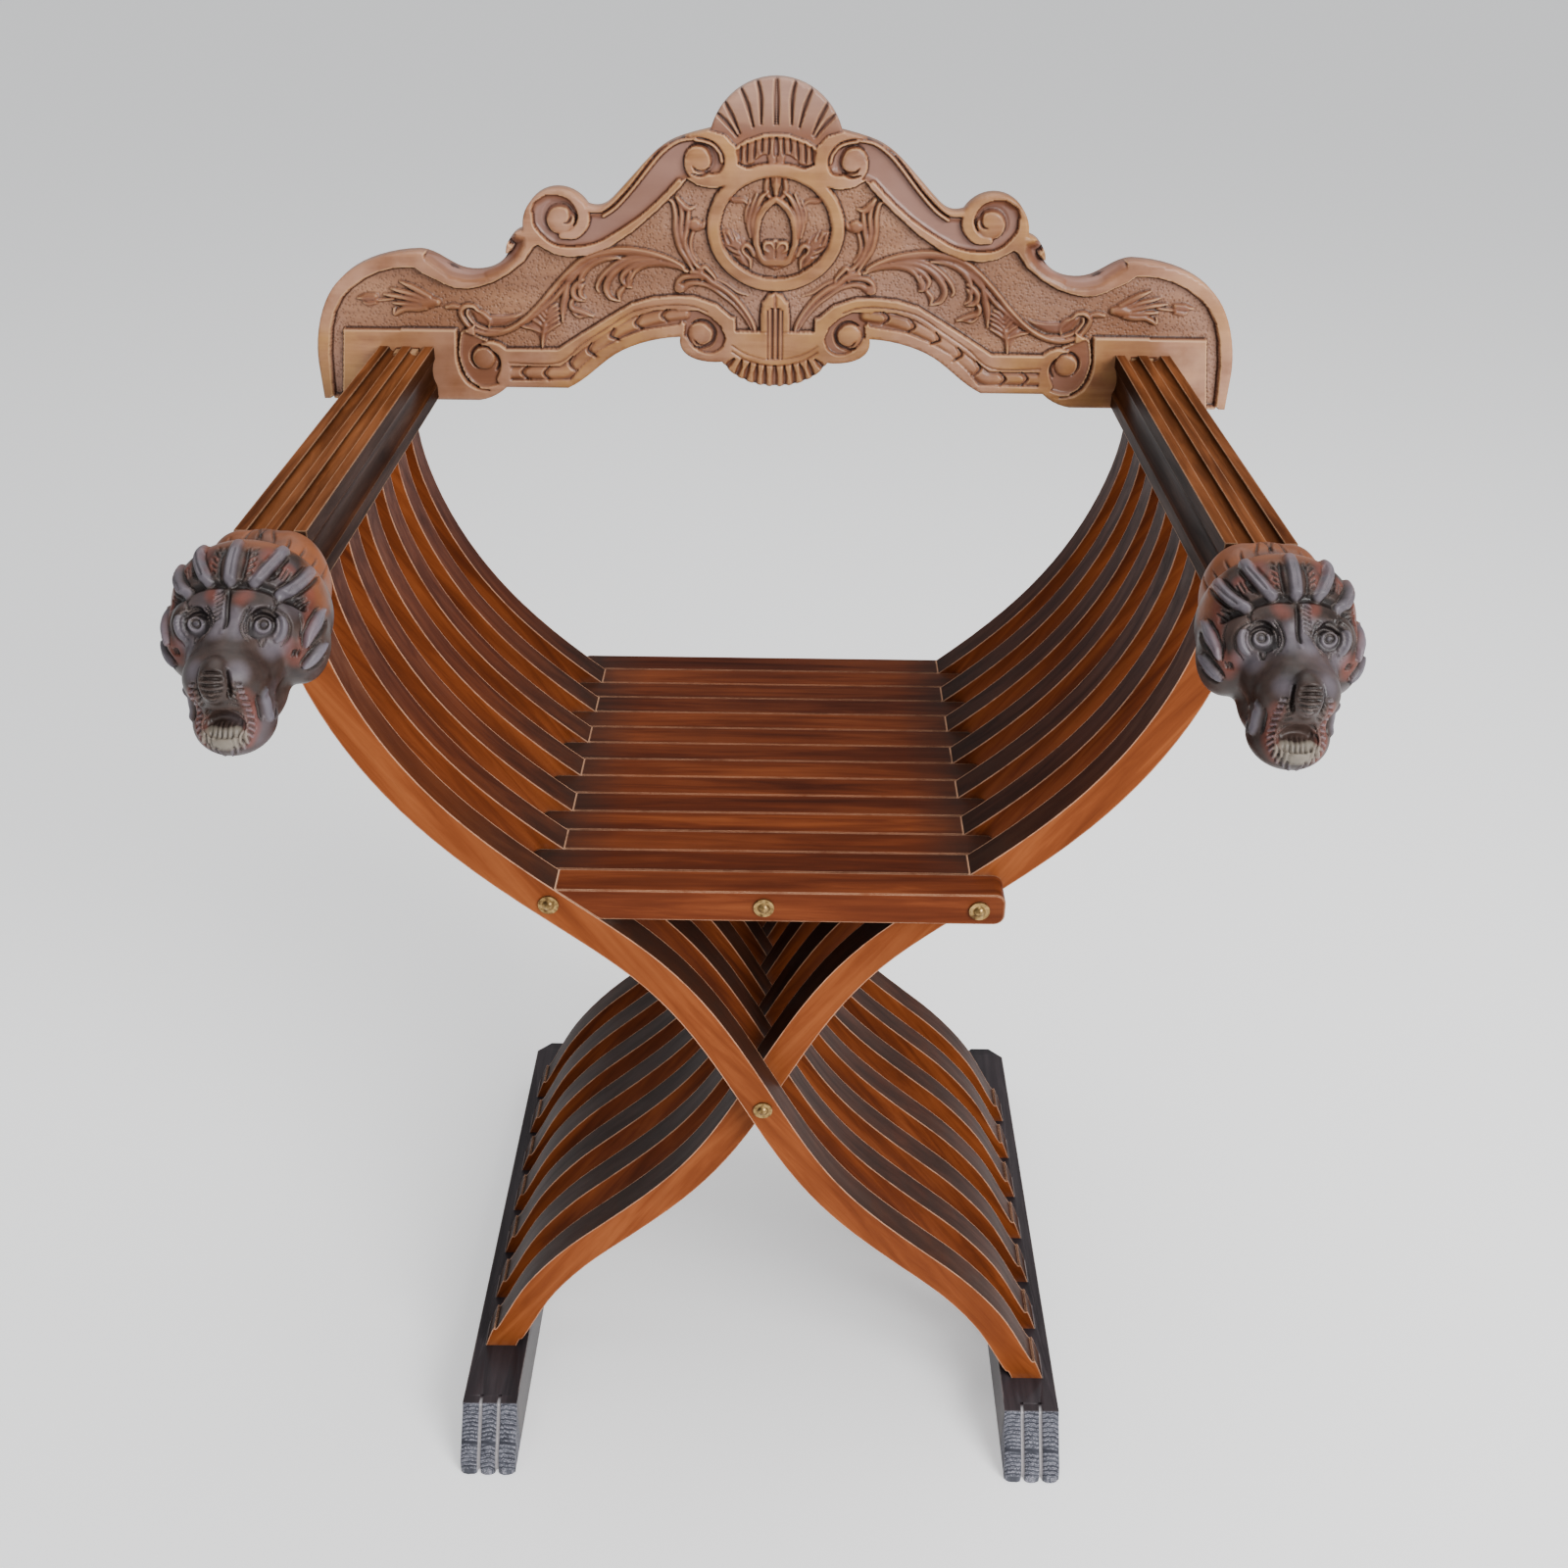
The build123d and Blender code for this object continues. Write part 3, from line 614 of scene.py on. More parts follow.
    # sweep: a bevel behind a narrow rim, curled at its end
    c.band(
        [(252, 101), (243.5, 94.5), (236.5, 89.5), (227.5, 87), (218.5, 86.5), (207, 88.5), (207, 89.5),
        (193.5, 95.5), (183, 104.5), (178.5, 113), (179, 118.5), (184, 120.5), (188.5, 119),
        (190.5, 114.5)], [1.2, 2, 2, 2, 2, 2, 2, 2, 2, 1.8, 1.6, 1.4, 1.3, 0.8], 6, ease=0.8, fall=1,
    )
    c.bevel(
        [(252, 101), (243.5, 94.5), (236.5, 89.5), (227.5, 87), (218.5, 86.5), (207, 88.5), (207, 89.5),
        (193.5, 95.5), (183, 104.5), (178.5, 113), (179, 118.5), (184, 120.5)], [(253, 102),
        (243.5, 94.5), (236.5, 89.5), (227.5, 87), (218.5, 86.5), (207, 88.5), (207, 89.5),
        (193.5, 95.5), (183, 104.5), (178.5, 113), (179, 119), (185, 125), (197.5, 125), (234.5, 112.5),
        (213.5, 120.5), (252, 111)], 1.4, 7.5, 9.5,
    )
    # pad under the arm and its volute
    c.field(
        [(326.5, -18.5), (317.5, 51.5), (234, 52.5), (235, 39.5), (235.5, 30), (233.5, 20.5),
        (229.5, 13.5), (223, 9), (213.5, 7.5), (197.5, 8.5), (199.5, -17)], 6, ease=0.8, fall=0.8,
        put=True,
    )
    c.field(
        [(230.5, 50.5), (223, 49), (214.5, 45.5), (208.5, 42.5), (201.5, 39), (197, 32), (197.5, 21.5),
        (203.5, 13.5), (213, 10), (222.5, 10.5), (229.5, 17), (233, 26), (234, 36.5)], 2.8, ease=2.5,
        fall=-2.6, smooth=True, put=True,
    )
    c.band(
        [(215.5, 40), (209, 40.5), (202.5, 37), (199.5, 30.5), (200, 22.5), (204, 15.5)], [2.5, 3.5, 4,
        4.3, 4.3, 3.4], 6, ease=1.6, fall=1.5,
    )
    c.boss((216, 31.5), 8.4)
    c.gouge(
        [(220.5, 23.5), (222.5, 25), (224, 27.5), (225, 30), (225, 33), (224, 35.5), (222.5, 37.5),
        (220, 39.5), (217.5, 40), (215, 40), (212, 39.5), (210, 38), (208, 36)], [0.4, 1.3, 1.6, 1.6,
        1.4, 0.4], 3.6,
    )
    c.gouge([(209, 37), (206, 32), (204.5, 27.5), (207, 22.5)], [0.2, 1.1, 1.5, 1], 3)
    c.gouge(
        [(234, 52.5), (235, 39.5), (235.5, 30), (233.5, 20.5), (229.5, 13.5), (223, 9), (213.5, 7.5)],
        0.9, 2,
    )
    # lower border: rim line, husks and bead
    c.gouge(
        [(197, 28.5), (161, 29), (142, 43), (122, 56), (105, 66.5), (89, 71), (72.5, 72.5),
        (59.5, 71.5), (49.5, 68)], 0.7, 1.6,
    )
    c.field(
        [(196, 26), (159, 26.5), (141, 40), (121, 53), (103.5, 63.5), (88, 68.5), (72.5, 69.5),
        (65, 64.5), (70, 58), (96, 54), (112, 48), (129.5, 38.5), (143, 26.5), (151.5, 16), (197, 15)],
        3.4, ease=0.8, fall=-2.6, put=True,
    )
    c.roll(
        [(196, 20.5), (176.5, 21), (158.5, 21), (149.5, 26.5), (136, 38), (118.5, 50.5), (100.5, 59),
        (81.5, 64), (66, 66)], [4.8, 5.2, 5.4, 5.6, 5.6, 5.4, 5.2, 5, 4.4], 5.8, 2,
    )
    for husk in (
        [(183.5, 26), (188, 21), (184, 15.5)],
        [(167, 26), (171.5, 20.5), (168, 15.5)],
        [(149.5, 34), (152.5, 28), (148, 22.5)],
        [(135, 44), (138, 38), (132, 33.5)],
        [(118, 55), (121, 49), (114.5, 46)],
        [(98.5, 64), (102.5, 58.5), (97.5, 54)],
        [(79, 69), (83, 64.5), (78.5, 59.5)],
    ):
        c.gouge(husk, [0.6, 1.3, 0.6], 3.6)
        c.gouge([(x - 2, z) for x, z in husk], [0.4, 1.1, 0.4], 1.6)
    # big C scroll with its ribs
    c.roll(
        [(65.5, 96.5), (69, 100.5), (83, 106), (100.5, 109), (114.5, 109.5), (128.5, 107), (138, 103),
        (146, 97), (154, 89.5), (162, 81), (170.5, 71.5), (181.5, 61), (192.5, 53.5), (203.5, 49.5),
        (214, 49), (223, 52.5), (228.5, 58.5), (230.5, 65), (226.5, 69), (221, 69), (217.5, 66)], [1.2,
        2, 2.6, 3.2, 3.4, 3.2, 3, 2.8, 2.6, 2.4, 2.4, 2.4, 2.3, 2.2, 2.2, 2.2, 2.2, 2.2, 2.2, 2, 1.2],
        4.6, 0.5, lean=0.35,
    )
    c.roll(
        [(133, 101.5), (143.5, 93.5), (153, 84), (161, 75.5), (171, 67), (181, 59.5), (192.5, 53.5),
        (203.5, 51.5), (213, 52), (220.5, 55.5), (225.5, 62), (225.5, 65.5)], [1, 2, 2.2, 2, 1.9, 1.8,
        1.7, 1.6, 1.5, 1.5, 1.4, 1], 3.6, 0.4,
    )
    c.field(
        [(223.5, 67), (217.5, 66.5), (209, 62.5), (194.5, 63), (184, 64.5), (191, 59), (200.5, 55),
        (211, 54), (219, 57.5)], 2.6, ease=1.8, fall=2.2,
    )
    c.roll([(217.5, 66), (213, 62.5), (209.5, 58.5), (210.5, 54)], [1, 2.6, 2.6, 0.8], 3.8, 0.5)
    c.gouge([(209, 62.5), (200, 62), (186.5, 64.5)], [0.4, 0.9, 0.3], 1.4)
    c.roll(
        [(60, 95.5), (52.5, 93.5), (45.5, 88), (37.5, 83.5), (30, 77.5), (22, 68), (16, 57.5),
        (14, 49)], [2.2, 2.6, 2.6, 2.4, 2.2, 2, 1.8, 0.6], 4.4, 0.5, lean=-0.3,
    )
    c.roll(
        [(66.5, 84.5), (62.5, 87), (56, 87.5), (47, 85), (37.5, 78.5), (30, 72.5), (22, 63),
        (15.5, 51.5)], [2.6, 2, 1.8, 1.6, 1.5, 1.4, 1.2, 0.5], 3.4, 0.4,
    )
    c.roll([(53.5, 98), (51, 99), (48, 96.5), (44, 92), (43, 89)], [1.5, 2, 1.6, 1.4, 0.6], 4, 0.5)
    c.roll([(44, 91), (36, 87.5), (28, 82), (20, 79)], [1.2, 1.4, 1.2, 0.5], 2.6, 0.3)
    c.boss((69.5, 84), 4, 4.2, 1.6, 0.9)
    c.roll([(71.5, 84.5), (70, 89), (65, 92), (56.5, 92.5), (49, 91.5)], [2, 2.2, 2.2, 2, 1.8], 4, 0.4)
    # acanthus sprays
    c.roll(
        [(64, 96), (71.5, 99.5), (83.5, 101.5), (94.5, 100), (101, 96), (104.5, 90.5)], [1.2, 2.2, 2.6,
        2.6, 2.2, 1], 4.4, 0.3, lean=0.25,
    )
    c.roll(
        [(78, 102), (89.5, 102), (99.5, 100), (107, 96), (111, 90.5), (108.5, 85.5), (104.5, 84)], [1.2,
        2, 2.4, 2.4, 2.4, 2, 1], 4, 0.3, lean=0.25,
    )
    c.roll(
        [(83, 103.5), (95.5, 103.5), (106, 101.5), (115, 96), (121, 89), (123, 82.5), (120, 76.5),
        (113, 74)], [1, 2, 2.6, 2.6, 2.6, 2.6, 2.2, 0.5], 4.2, 0.3, lean=0.25,
    )
    c.roll(
        [(88, 105.5), (99.5, 105.5), (109.5, 103.5), (119, 97.5), (126.5, 90), (129.5, 84),
        (128.5, 80.5)], [1, 1.8, 2, 2, 2, 2, 0.8], 3.6, 0.3, lean=0.25,
    )
    c.roll([(104.5, 94), (106, 89), (106.5, 85)], [1.6, 3, 2], 4.2, 0.3, lean=0.25)
    c.roll([(110, 84), (113.5, 79), (113, 74)], [1.6, 2.4, 0.4], 3.8, 0.3, lean=0.25)
    c.roll(
        [(112, 105), (122.5, 104), (131.5, 100.5), (138, 95), (141.5, 89), (142.5, 84)], [1, 2, 2.4,
        2.4, 2.2, 1.2], 4.2, 0.3, lean=0.25,
    )
    c.roll(
        [(129, 104), (138, 100.5), (146, 93.5), (151, 86), (154, 76)], [1.2, 2, 2.4, 2.2, 1], 3.6, 0.3,
        lean=0.25,
    )
    c.roll(
        [(150, 87.5), (152.5, 78.5), (155, 68.5), (156, 58)], [1.4, 2.8, 2.6, 0.6], 3.8, 0.3, lean=0.25,
    )
    c.roll(
        [(140, 89), (144, 85.5), (147, 81), (145.5, 76), (138.5, 73.5)], [1.6, 2.4, 2.4, 2.2, 0.4], 4.2,
        0.3, lean=0.25,
    )
    c.roll([(140, 85), (142, 81.5), (141.5, 77.5), (138, 75)], [1.4, 2, 1.8, 0.4], 3.8, 0.3, lean=0.25)
    c.roll(
        [(147, 75.5), (149, 71.5), (147.5, 68), (140.5, 65.5), (132.5, 63)], [1.2, 2.2, 2.4, 2, 0.4], 4,
        0.3, lean=0.25,
    )
    c.roll([(148, 65), (144, 62.5), (137, 63.5), (132, 62)], [0.8, 1.6, 1.4, 0.4], 3.4, 0.3, lean=0.25)
    # fan leaf
    c.field(
        [(172, 39.5), (174.5, 47), (179.5, 52), (187.5, 54.5), (179.5, 56.5), (177.5, 64.5),
        (170.5, 71.5), (165, 69.5), (158.5, 70.5), (158, 58.5), (164, 54.5), (168, 48)], 1.6, ease=2,
        fall=1.4,
    )
    c.roll([(172, 39.5), (171, 48), (169, 55.5)], [0.8, 2, 2.4], 3.6, 0.5)
    c.roll([(169.5, 50), (164, 54), (158.5, 57)], [1.1, 1.7, 0.9], 3.2, 0.6)
    c.roll([(169, 54), (163.5, 58), (158.5, 61)], [1.1, 1.7, 0.9], 3.2, 0.6)
    c.roll([(168, 58), (163, 62), (158, 64.5)], [1.1, 1.7, 0.9], 3.2, 0.6)
    c.roll([(167.5, 61.5), (162.5, 65.5), (158.5, 68)], [1.1, 1.7, 0.9], 3.2, 0.6)
    c.roll([(166.5, 65), (163.5, 68.5), (160, 70.5)], [1.1, 1.7, 0.9], 3.2, 0.6)
    c.roll([(171, 50), (178.5, 53), (186, 54.5)], [1.1, 1.7, 0.9], 3.2, 0.6)
    c.roll([(170, 54), (174, 57.5), (177.5, 59.5)], [1.1, 1.7, 0.9], 3.2, 0.6)
    c.roll([(169.5, 58), (172.5, 62), (176, 64)], [1.1, 1.7, 0.9], 3.2, 0.6)
    c.roll([(168.5, 61.5), (171, 65), (173, 67.5)], [1.1, 1.7, 0.9], 3.2, 0.6)
    c.roll([(167.5, 64.5), (169, 68.5), (170, 70.5)], [1.1, 1.7, 0.9], 3.2, 0.6)
    # upright ridged leaf beside the ring
    c.roll(
        [(78.5, 144.5), (75.5, 145.5), (73, 143), (71.5, 135), (71.5, 124), (69, 113), (64, 104.5),
        (59.5, 97)], [0.8, 1.6, 2, 2.2, 2.2, 2.2, 2, 1.2], 4.2, 0.3, lean=-0.2,
    )
    c.roll(
        [(69, 145.5), (67, 136), (68, 124), (66, 114.5), (61.5, 106)], [1, 2, 2.2, 2.2, 1], 3.8, 0.3,
        lean=-0.2,
    )
    c.roll(
        [(70, 147), (66, 141.5), (62, 139.5), (57.5, 140.5)], [1.4, 2.8, 2.4, 0.5], 4.2, 0.3, lean=-0.2,
    )
    c.roll(
        [(62, 138.5), (63.5, 126.5), (65.5, 117), (63, 108.5), (58, 101), (53, 97.5)], [1.6, 2.2, 2.2,
        2.2, 2, 1.2], 4, 0.3, lean=-0.2,
    )
    c.roll(
        [(58.5, 125.5), (61, 117), (60.5, 109.5), (56.5, 103.5)], [1.2, 1.6, 1.6, 0.6], 3, 0.3,
        lean=-0.2,
    )
    c.roll([(53, 91), (53, 96), (56.5, 98.5)], [1.6, 1.8, 1.2], 3.8, 0.3, lean=-0.2)
    c.boss((57.5, 128.5), 5, 4.6, 2.2, 0.85)
    c.roll([(55, 126.5), (47.5, 130.5)], [2.4, 2.6], 3.6, 0.3)
    # tulip spray
    c.roll([(231, 68), (236, 68.5), (240.5, 68)], [1.8, 2.4, 1.6], 3.4, 0.3)
    c.roll([(247, 71.5), (252.5, 71.5), (257, 70.5)], [3, 5, 4.4], 4.4, 0.3)
    c.roll([(252, 75), (258, 78.5), (265, 82.5), (273, 86)], [2.4, 2.6, 2.2, 0.6], 4, 0.3)
    c.roll([(255, 73), (264, 76.5), (273, 79), (280.5, 81)], [2.4, 2.2, 1.8, 0.6], 3.6, 0.3)
    c.roll([(255, 71), (264.5, 73), (273.5, 75), (285.5, 76.5)], [2.4, 2.2, 1.8, 0.6], 3.8, 0.3)
    c.roll([(255.5, 69.5), (264.5, 69.5), (272, 70), (279.5, 70.5)], [2.4, 2.4, 2, 0.8], 3.6, 0.3)
    c.roll(
        [(255.5, 67.5), (263, 66.5), (270.5, 66.5), (275.5, 64.5), (279, 63), (279, 66.5)], [2.2, 2.4,
        2.2, 2.2, 2, 0.8], 4, 0.3,
    )
    c.roll([(279, 73.5), (287, 72.5), (292.5, 72.5)], [0.9, 1.1, 1.1], 2.8, 0.3)
    c.roll([(292, 75), (298, 74.5), (305.5, 73.5)], [2.4, 3, 0.5], 3.2, 0.3)
    c.roll([(292.5, 71), (298.5, 70), (301, 71)], [2, 2.2, 0.8], 2.8, 0.3)
    # shell on the crest
    c.roll([(29, 181), (21.5, 186), (9.5, 190), (0.5, 191)], [2.2, 3, 3.2, 3.2], 6, 3.8)
    c.field(
        [(-2, 190.5), (0.5, 191), (9.5, 190), (21.5, 186), (28, 181.5), (36, 189.5), (50.5, 193.5),
        (53, 203.5), (44, 220.5), (27.5, 233), (1, 237.5), (-2, 241.5)], 4.8, ease=0.5, fall=0,
        put=True, tilt=(2, 216.3, 26),
    )
    c.gouge([(27, 188.5), (35, 198), (44, 206)], [0.9, 2, 1.4], 4)
    c.gouge([(25.5, 190.5), (30.5, 201.5), (38, 215.5)], [0.9, 2, 1.4], 4)
    c.gouge([(16, 195), (20, 209.5), (25.5, 222)], [0.9, 2, 1.4], 4)
    c.gouge([(10.5, 197), (11, 215.5), (14.5, 229)], [0.9, 2, 1.4], 4)
    c.gouge([(1, 197), (0.5, 214), (0, 230)], [0.9, 2, 1.4], 4)
    c.field(
        [(0, 141), (6.5, 177), (9.5, 176.5), (14, 173.5), (17, 170.5), (23, 169.5), (27.5, 172.5),
        (28, 179.5), (21.5, 184.5), (9.5, 188), (0.5, 189.5), (0, 156)], 3.6, ease=1.2, fall=1.6,
        put=False,
    )
    c.gouge([(24.5, 182.5), (25, 177.5), (25, 172.5)], [0.7, 1.5, 1], 2.8)
    c.gouge([(20, 184), (20.5, 177.5), (20.5, 171.5)], [0.7, 1.5, 1], 2.8)
    c.gouge([(14.5, 186), (15, 180), (15.5, 173.5)], [0.7, 1.5, 1], 2.8)
    c.gouge([(9.5, 187.5), (10, 183), (10, 178.5)], [0.7, 1.5, 1], 2.8)
    c.gouge([(5, 188), (5, 182.5), (5.5, 177)], [0.7, 1.5, 1], 2.8)
    c.gouge([(0.5, 188.5), (1, 182.5), (1, 176.5)], [0.7, 1.5, 1], 2.8)
    # round frame and rosette
    c.band(
        [(-2, 87), (0, 87), (10, 88), (19, 91), (27.5, 96), (34.5, 102), (40, 109.5), (43, 118),
        (44.5, 127), (43, 135.5), (40, 144), (34.5, 151.5), (27.5, 158), (19, 162.5), (10, 165.5),
        (0, 166.5), (-2, 166.5)], 4.9, 6.2, ease=2.8, fall=2.4,
    )
    c.gouge(
        [(-2, 82.5), (11, 83.5), (21.5, 87), (31, 92), (38.5, 99), (44.5, 107.5), (48.5, 117),
        (49.5, 127), (48.5, 136.5), (44.5, 146)], 0.9, 2.4,
    )
    c.band(
        [(0, 147), (4.5, 144), (9.5, 139), (12.5, 133), (14, 123.5), (13.5, 114.5), (8.5, 104.5),
        (0, 103.5)], [2.2, 2.4, 2.6, 2.4, 2.2, 2.2, 2.6, 3], 5.4, ease=1.8, fall=1.8,
    )
    c.boss((0, 110.5), 8.6, 4.2, 1.2, 0.95)
    c.roll(
        [(0, 111.5), (3, 116.5), (7, 116.5), (8, 113), (5, 110.5)], [0.8, 1.4, 1.5, 1.4, 0.8], 5.4, 2.5,
    )
    c.gouge([(0, 117.5), (0, 111.5), (0, 106.5)], [0.6, 1, 0.5], 2)
    c.roll([(0, 162.5), (0, 157), (0, 151)], [0.8, 3.2, 1.4], 5.4, 1)
    c.roll([(6, 162), (7, 155), (6, 150), (2.5, 146.5)], [1.4, 2, 2, 1.2], 3.4, 0.4)
    c.roll(
        [(5.5, 152), (10.5, 147.5), (14, 140), (16.5, 131), (15.5, 120.5), (13.5, 113)], [0.8, 2, 2.4,
        2.4, 2, 1], 4.4, 0.3,
    )
    c.roll([(13.5, 150), (17.5, 140), (19.5, 129.5), (18, 120.5)], [0.8, 1.8, 2, 0.8], 3.6, 0.3)
    c.roll([(18, 146), (21, 138.5), (21.5, 131)], [0.6, 1.4, 0.8], 2.8, 0.3)
    c.roll(
        [(15.5, 108.5), (18, 113), (21.5, 115), (24, 112.5), (22.5, 109)], [2, 2.2, 2, 1.8, 1], 4.6,
        0.3,
    )
    c.roll([(22.5, 109), (18.5, 104.5), (18, 98.5)], [1.4, 2, 0.6], 3.8, 0.3)
    c.roll([(14.5, 107.5), (9, 103), (1, 99.5)], [1.4, 1.8, 1.8], 3, 0.3)
    c.field(
        [(39, 125), (32.5, 126), (26.5, 122), (21.5, 117), (24.5, 112), (21.5, 107), (18.5, 99),
        (25, 101.5), (31, 108.5), (37.5, 114.5)], 3.6, ease=3, fall=2.4,
    )
    c.gouge([(33, 126), (31, 122.5), (29.5, 119)], [0.4, 1.1, 0.6], 2.2)
    c.gouge([(30, 124.5), (28, 121.5), (26.5, 118)], [0.4, 1.1, 0.6], 2.2)
    c.gouge([(27, 122.5), (25.5, 119.5), (24.5, 116.5)], [0.4, 1.1, 0.6], 2.2)
    c.gouge([(36, 123.5), (34, 119.5), (32.5, 116)], [0.4, 1.1, 0.6], 2.2)
    c.gouge([(35, 114.5), (31.5, 113), (27.5, 111.5)], [0.4, 1.1, 0.6], 2.2)
    c.gouge([(32.5, 110), (29.5, 108.5), (26, 107.5)], [0.4, 1.1, 0.6], 2.2)
    c.roll([(35, 148.5), (30, 146), (23, 145.5), (20.5, 143.5)], [1, 2.2, 2, 0.8], 2.6, 0.3)
    c.field([(0, 83), (0, 90.5), (4, 90.5), (3, 83)], 2.8, ease=1, fall=1)
    # reeded block below the ring
    c.field(
        [(0, 52.5), (0, 82), (5, 80.5), (9.5, 74.5), (11, 63.5), (11, 49.5), (9, 52.5)], 6, ease=2.4,
        fall=2.6,
    )
    c.field([(0, 31), (0, 70), (3, 71.5), (6, 69), (6, 31)], 2.6, ease=0.6, fall=-2, put=True)
    c.roll([(0, 69.5), (0, 51.5), (0, 31)], [1.5, 1.7, 1.8], 5.4, 2.4)
    c.roll([(4, 69.5), (4, 51.5), (4, 31)], [1.5, 1.7, 1.8], 5.4, 2.4)
    # lower field, bead and shell
    c.gouge([(31.5, 43.5), (22, 37.5), (10.5, 34), (0.5, 33)], 0.8, 1.2)
    c.band([(31.5, 41.5), (22, 35.5), (10.5, 32), (0.5, 31)], [1.2, 1.8, 2, 2], 6, ease=1, fall=1)
    c.gouge([(31.5, 39), (22, 33), (10.5, 29.5), (0.5, 28.5)], 0.8, 1.6)
    c.gouge([(30, 33.5), (33, 30.5), (36, 27.5)], [1.1, 2.4, 2.2], 3.6)
    c.gouge([(24.5, 32.5), (26, 27.5), (28, 22.5)], [1.1, 2.4, 2.2], 3.6)
    c.gouge([(18.5, 30), (20.5, 24.5), (22, 18.5)], [1.1, 2.4, 2.2], 3.6)
    c.gouge([(13, 29), (14, 22.5), (14.5, 16)], [1.1, 2.4, 2.2], 3.6)
    c.gouge([(7, 28), (7.5, 21), (7.5, 14)], [1.1, 2.4, 2.2], 3.6)
    c.gouge([(0.5, 28), (0.5, 21), (0.5, 13.5)], [1.1, 2.4, 2.2], 3.6)


def soften(field, cells):
    """Running average over a square of cells."""
    size = 2 * cells + 1
    for axis in (0, 1):
        pad = [(cells + 1, cells) if a == axis else (0, 0) for a in (0, 1)]
        total = np.cumsum(np.pad(field, pad, mode="edge"), axis=axis)
        ends, starts = [slice(None)] * 2, [slice(None)] * 2
        ends[axis], starts[axis] = slice(size, None), slice(None, -size)
        field = (total[tuple(ends)] - total[tuple(starts)]) / size
    return field


def read_off(field, work, points):
    """A field's value at points on either half of the rail."""
    i = np.clip((np.abs(points[:, 0]) - work.low[0]) / work.cell, 0, len(work.x) - 1.001)
    k = np.clip((points[:, 1] - work.low[1]) / work.cell, 0, len(work.z) - 1.001)
    i0, k0 = i.astype(int), k.astype(int)
    u, v = i - i0, k - k0
    low = field[k0, i0] * (1 - u) + field[k0, i0 + 1] * u
    high = field[k0 + 1, i0] * (1 - u) + field[k0 + 1, i0 + 1] * u
    return low * (1 - v) + high * v


def board_outline(back, foot):
    """The outline of the CAD board's flat back."""
    rough = bmesh.new()
    rough.from_mesh(nodes["back_rail"].data)
    bmesh.ops.remove_doubles(rough, verts=rough.verts, dist=1e-5)
    rough.normal_update()
    plane = [f for f in rough.faces if f.normal.y > 0.99 and f.calc_center_median().y * 1000 > back - 0.1]
    edges = {e for f in plane for e in f.edges if sum(g in plane for g in e.link_faces) == 1}
    turn = list(edges.pop().verts)
    while edges:
        follow = next(e for e in edges if turn[-1] in e.verts)
        edges.remove(follow)
        turn.append(follow.other_vert(turn[-1]))
    loop = np.array([(v.co.x * 1000, v.co.z * 1000 - foot) for v in turn[:-1]])
    rough.free()
    area = (loop[:, 0] * np.roll(loop[:, 1], -1) - np.roll(loop[:, 0], -1) * loop[:, 1]).sum()
    return dense(loop if area > 0 else loop[::-1], 1.1)


def carved_points(work, outline, fine):
    """Points for the carved face: close together on the carving, far apart on flat wood."""
    width, top, pitch = 340.0, 228.0, 0.866
    columns = np.arange(-int(width / fine), int(width / fine) + 1)
    i, k = np.meshgrid(columns, np.arange(0, int(top / (fine * pitch)) + 1))
    spots = np.c_[((i + 0.5 * (k % 2)) * fine).ravel(), (k * fine * pitch).ravel()]
    coarse = ((i % 3 == 0) & (k % 3 == 0)).ravel()
    reach = max(1, round(0.9 / work.cell))
    busy = soften(np.abs(work.height - soften(work.height, reach)), reach)
    spots = spots[(read_off(busy, work, spots) > 0.05) | coarse]
    spots = spots[inside(outline, spots)]
    gap = np.full(len(spots), 1e9)
    for start in range(0, len(outline), 200):
        part = outline[start : start + 200]
        box = (spots > part.min(0) - 2).all(1) & (spots < part.max(0) + 2).all(1)
        if box.any():
            gap[box] = np.minimum(gap[box], ((spots[box][:, None] - part[None]) ** 2).sum(-1).min(1))
    return spots[gap > (0.6 * fine) ** 2]


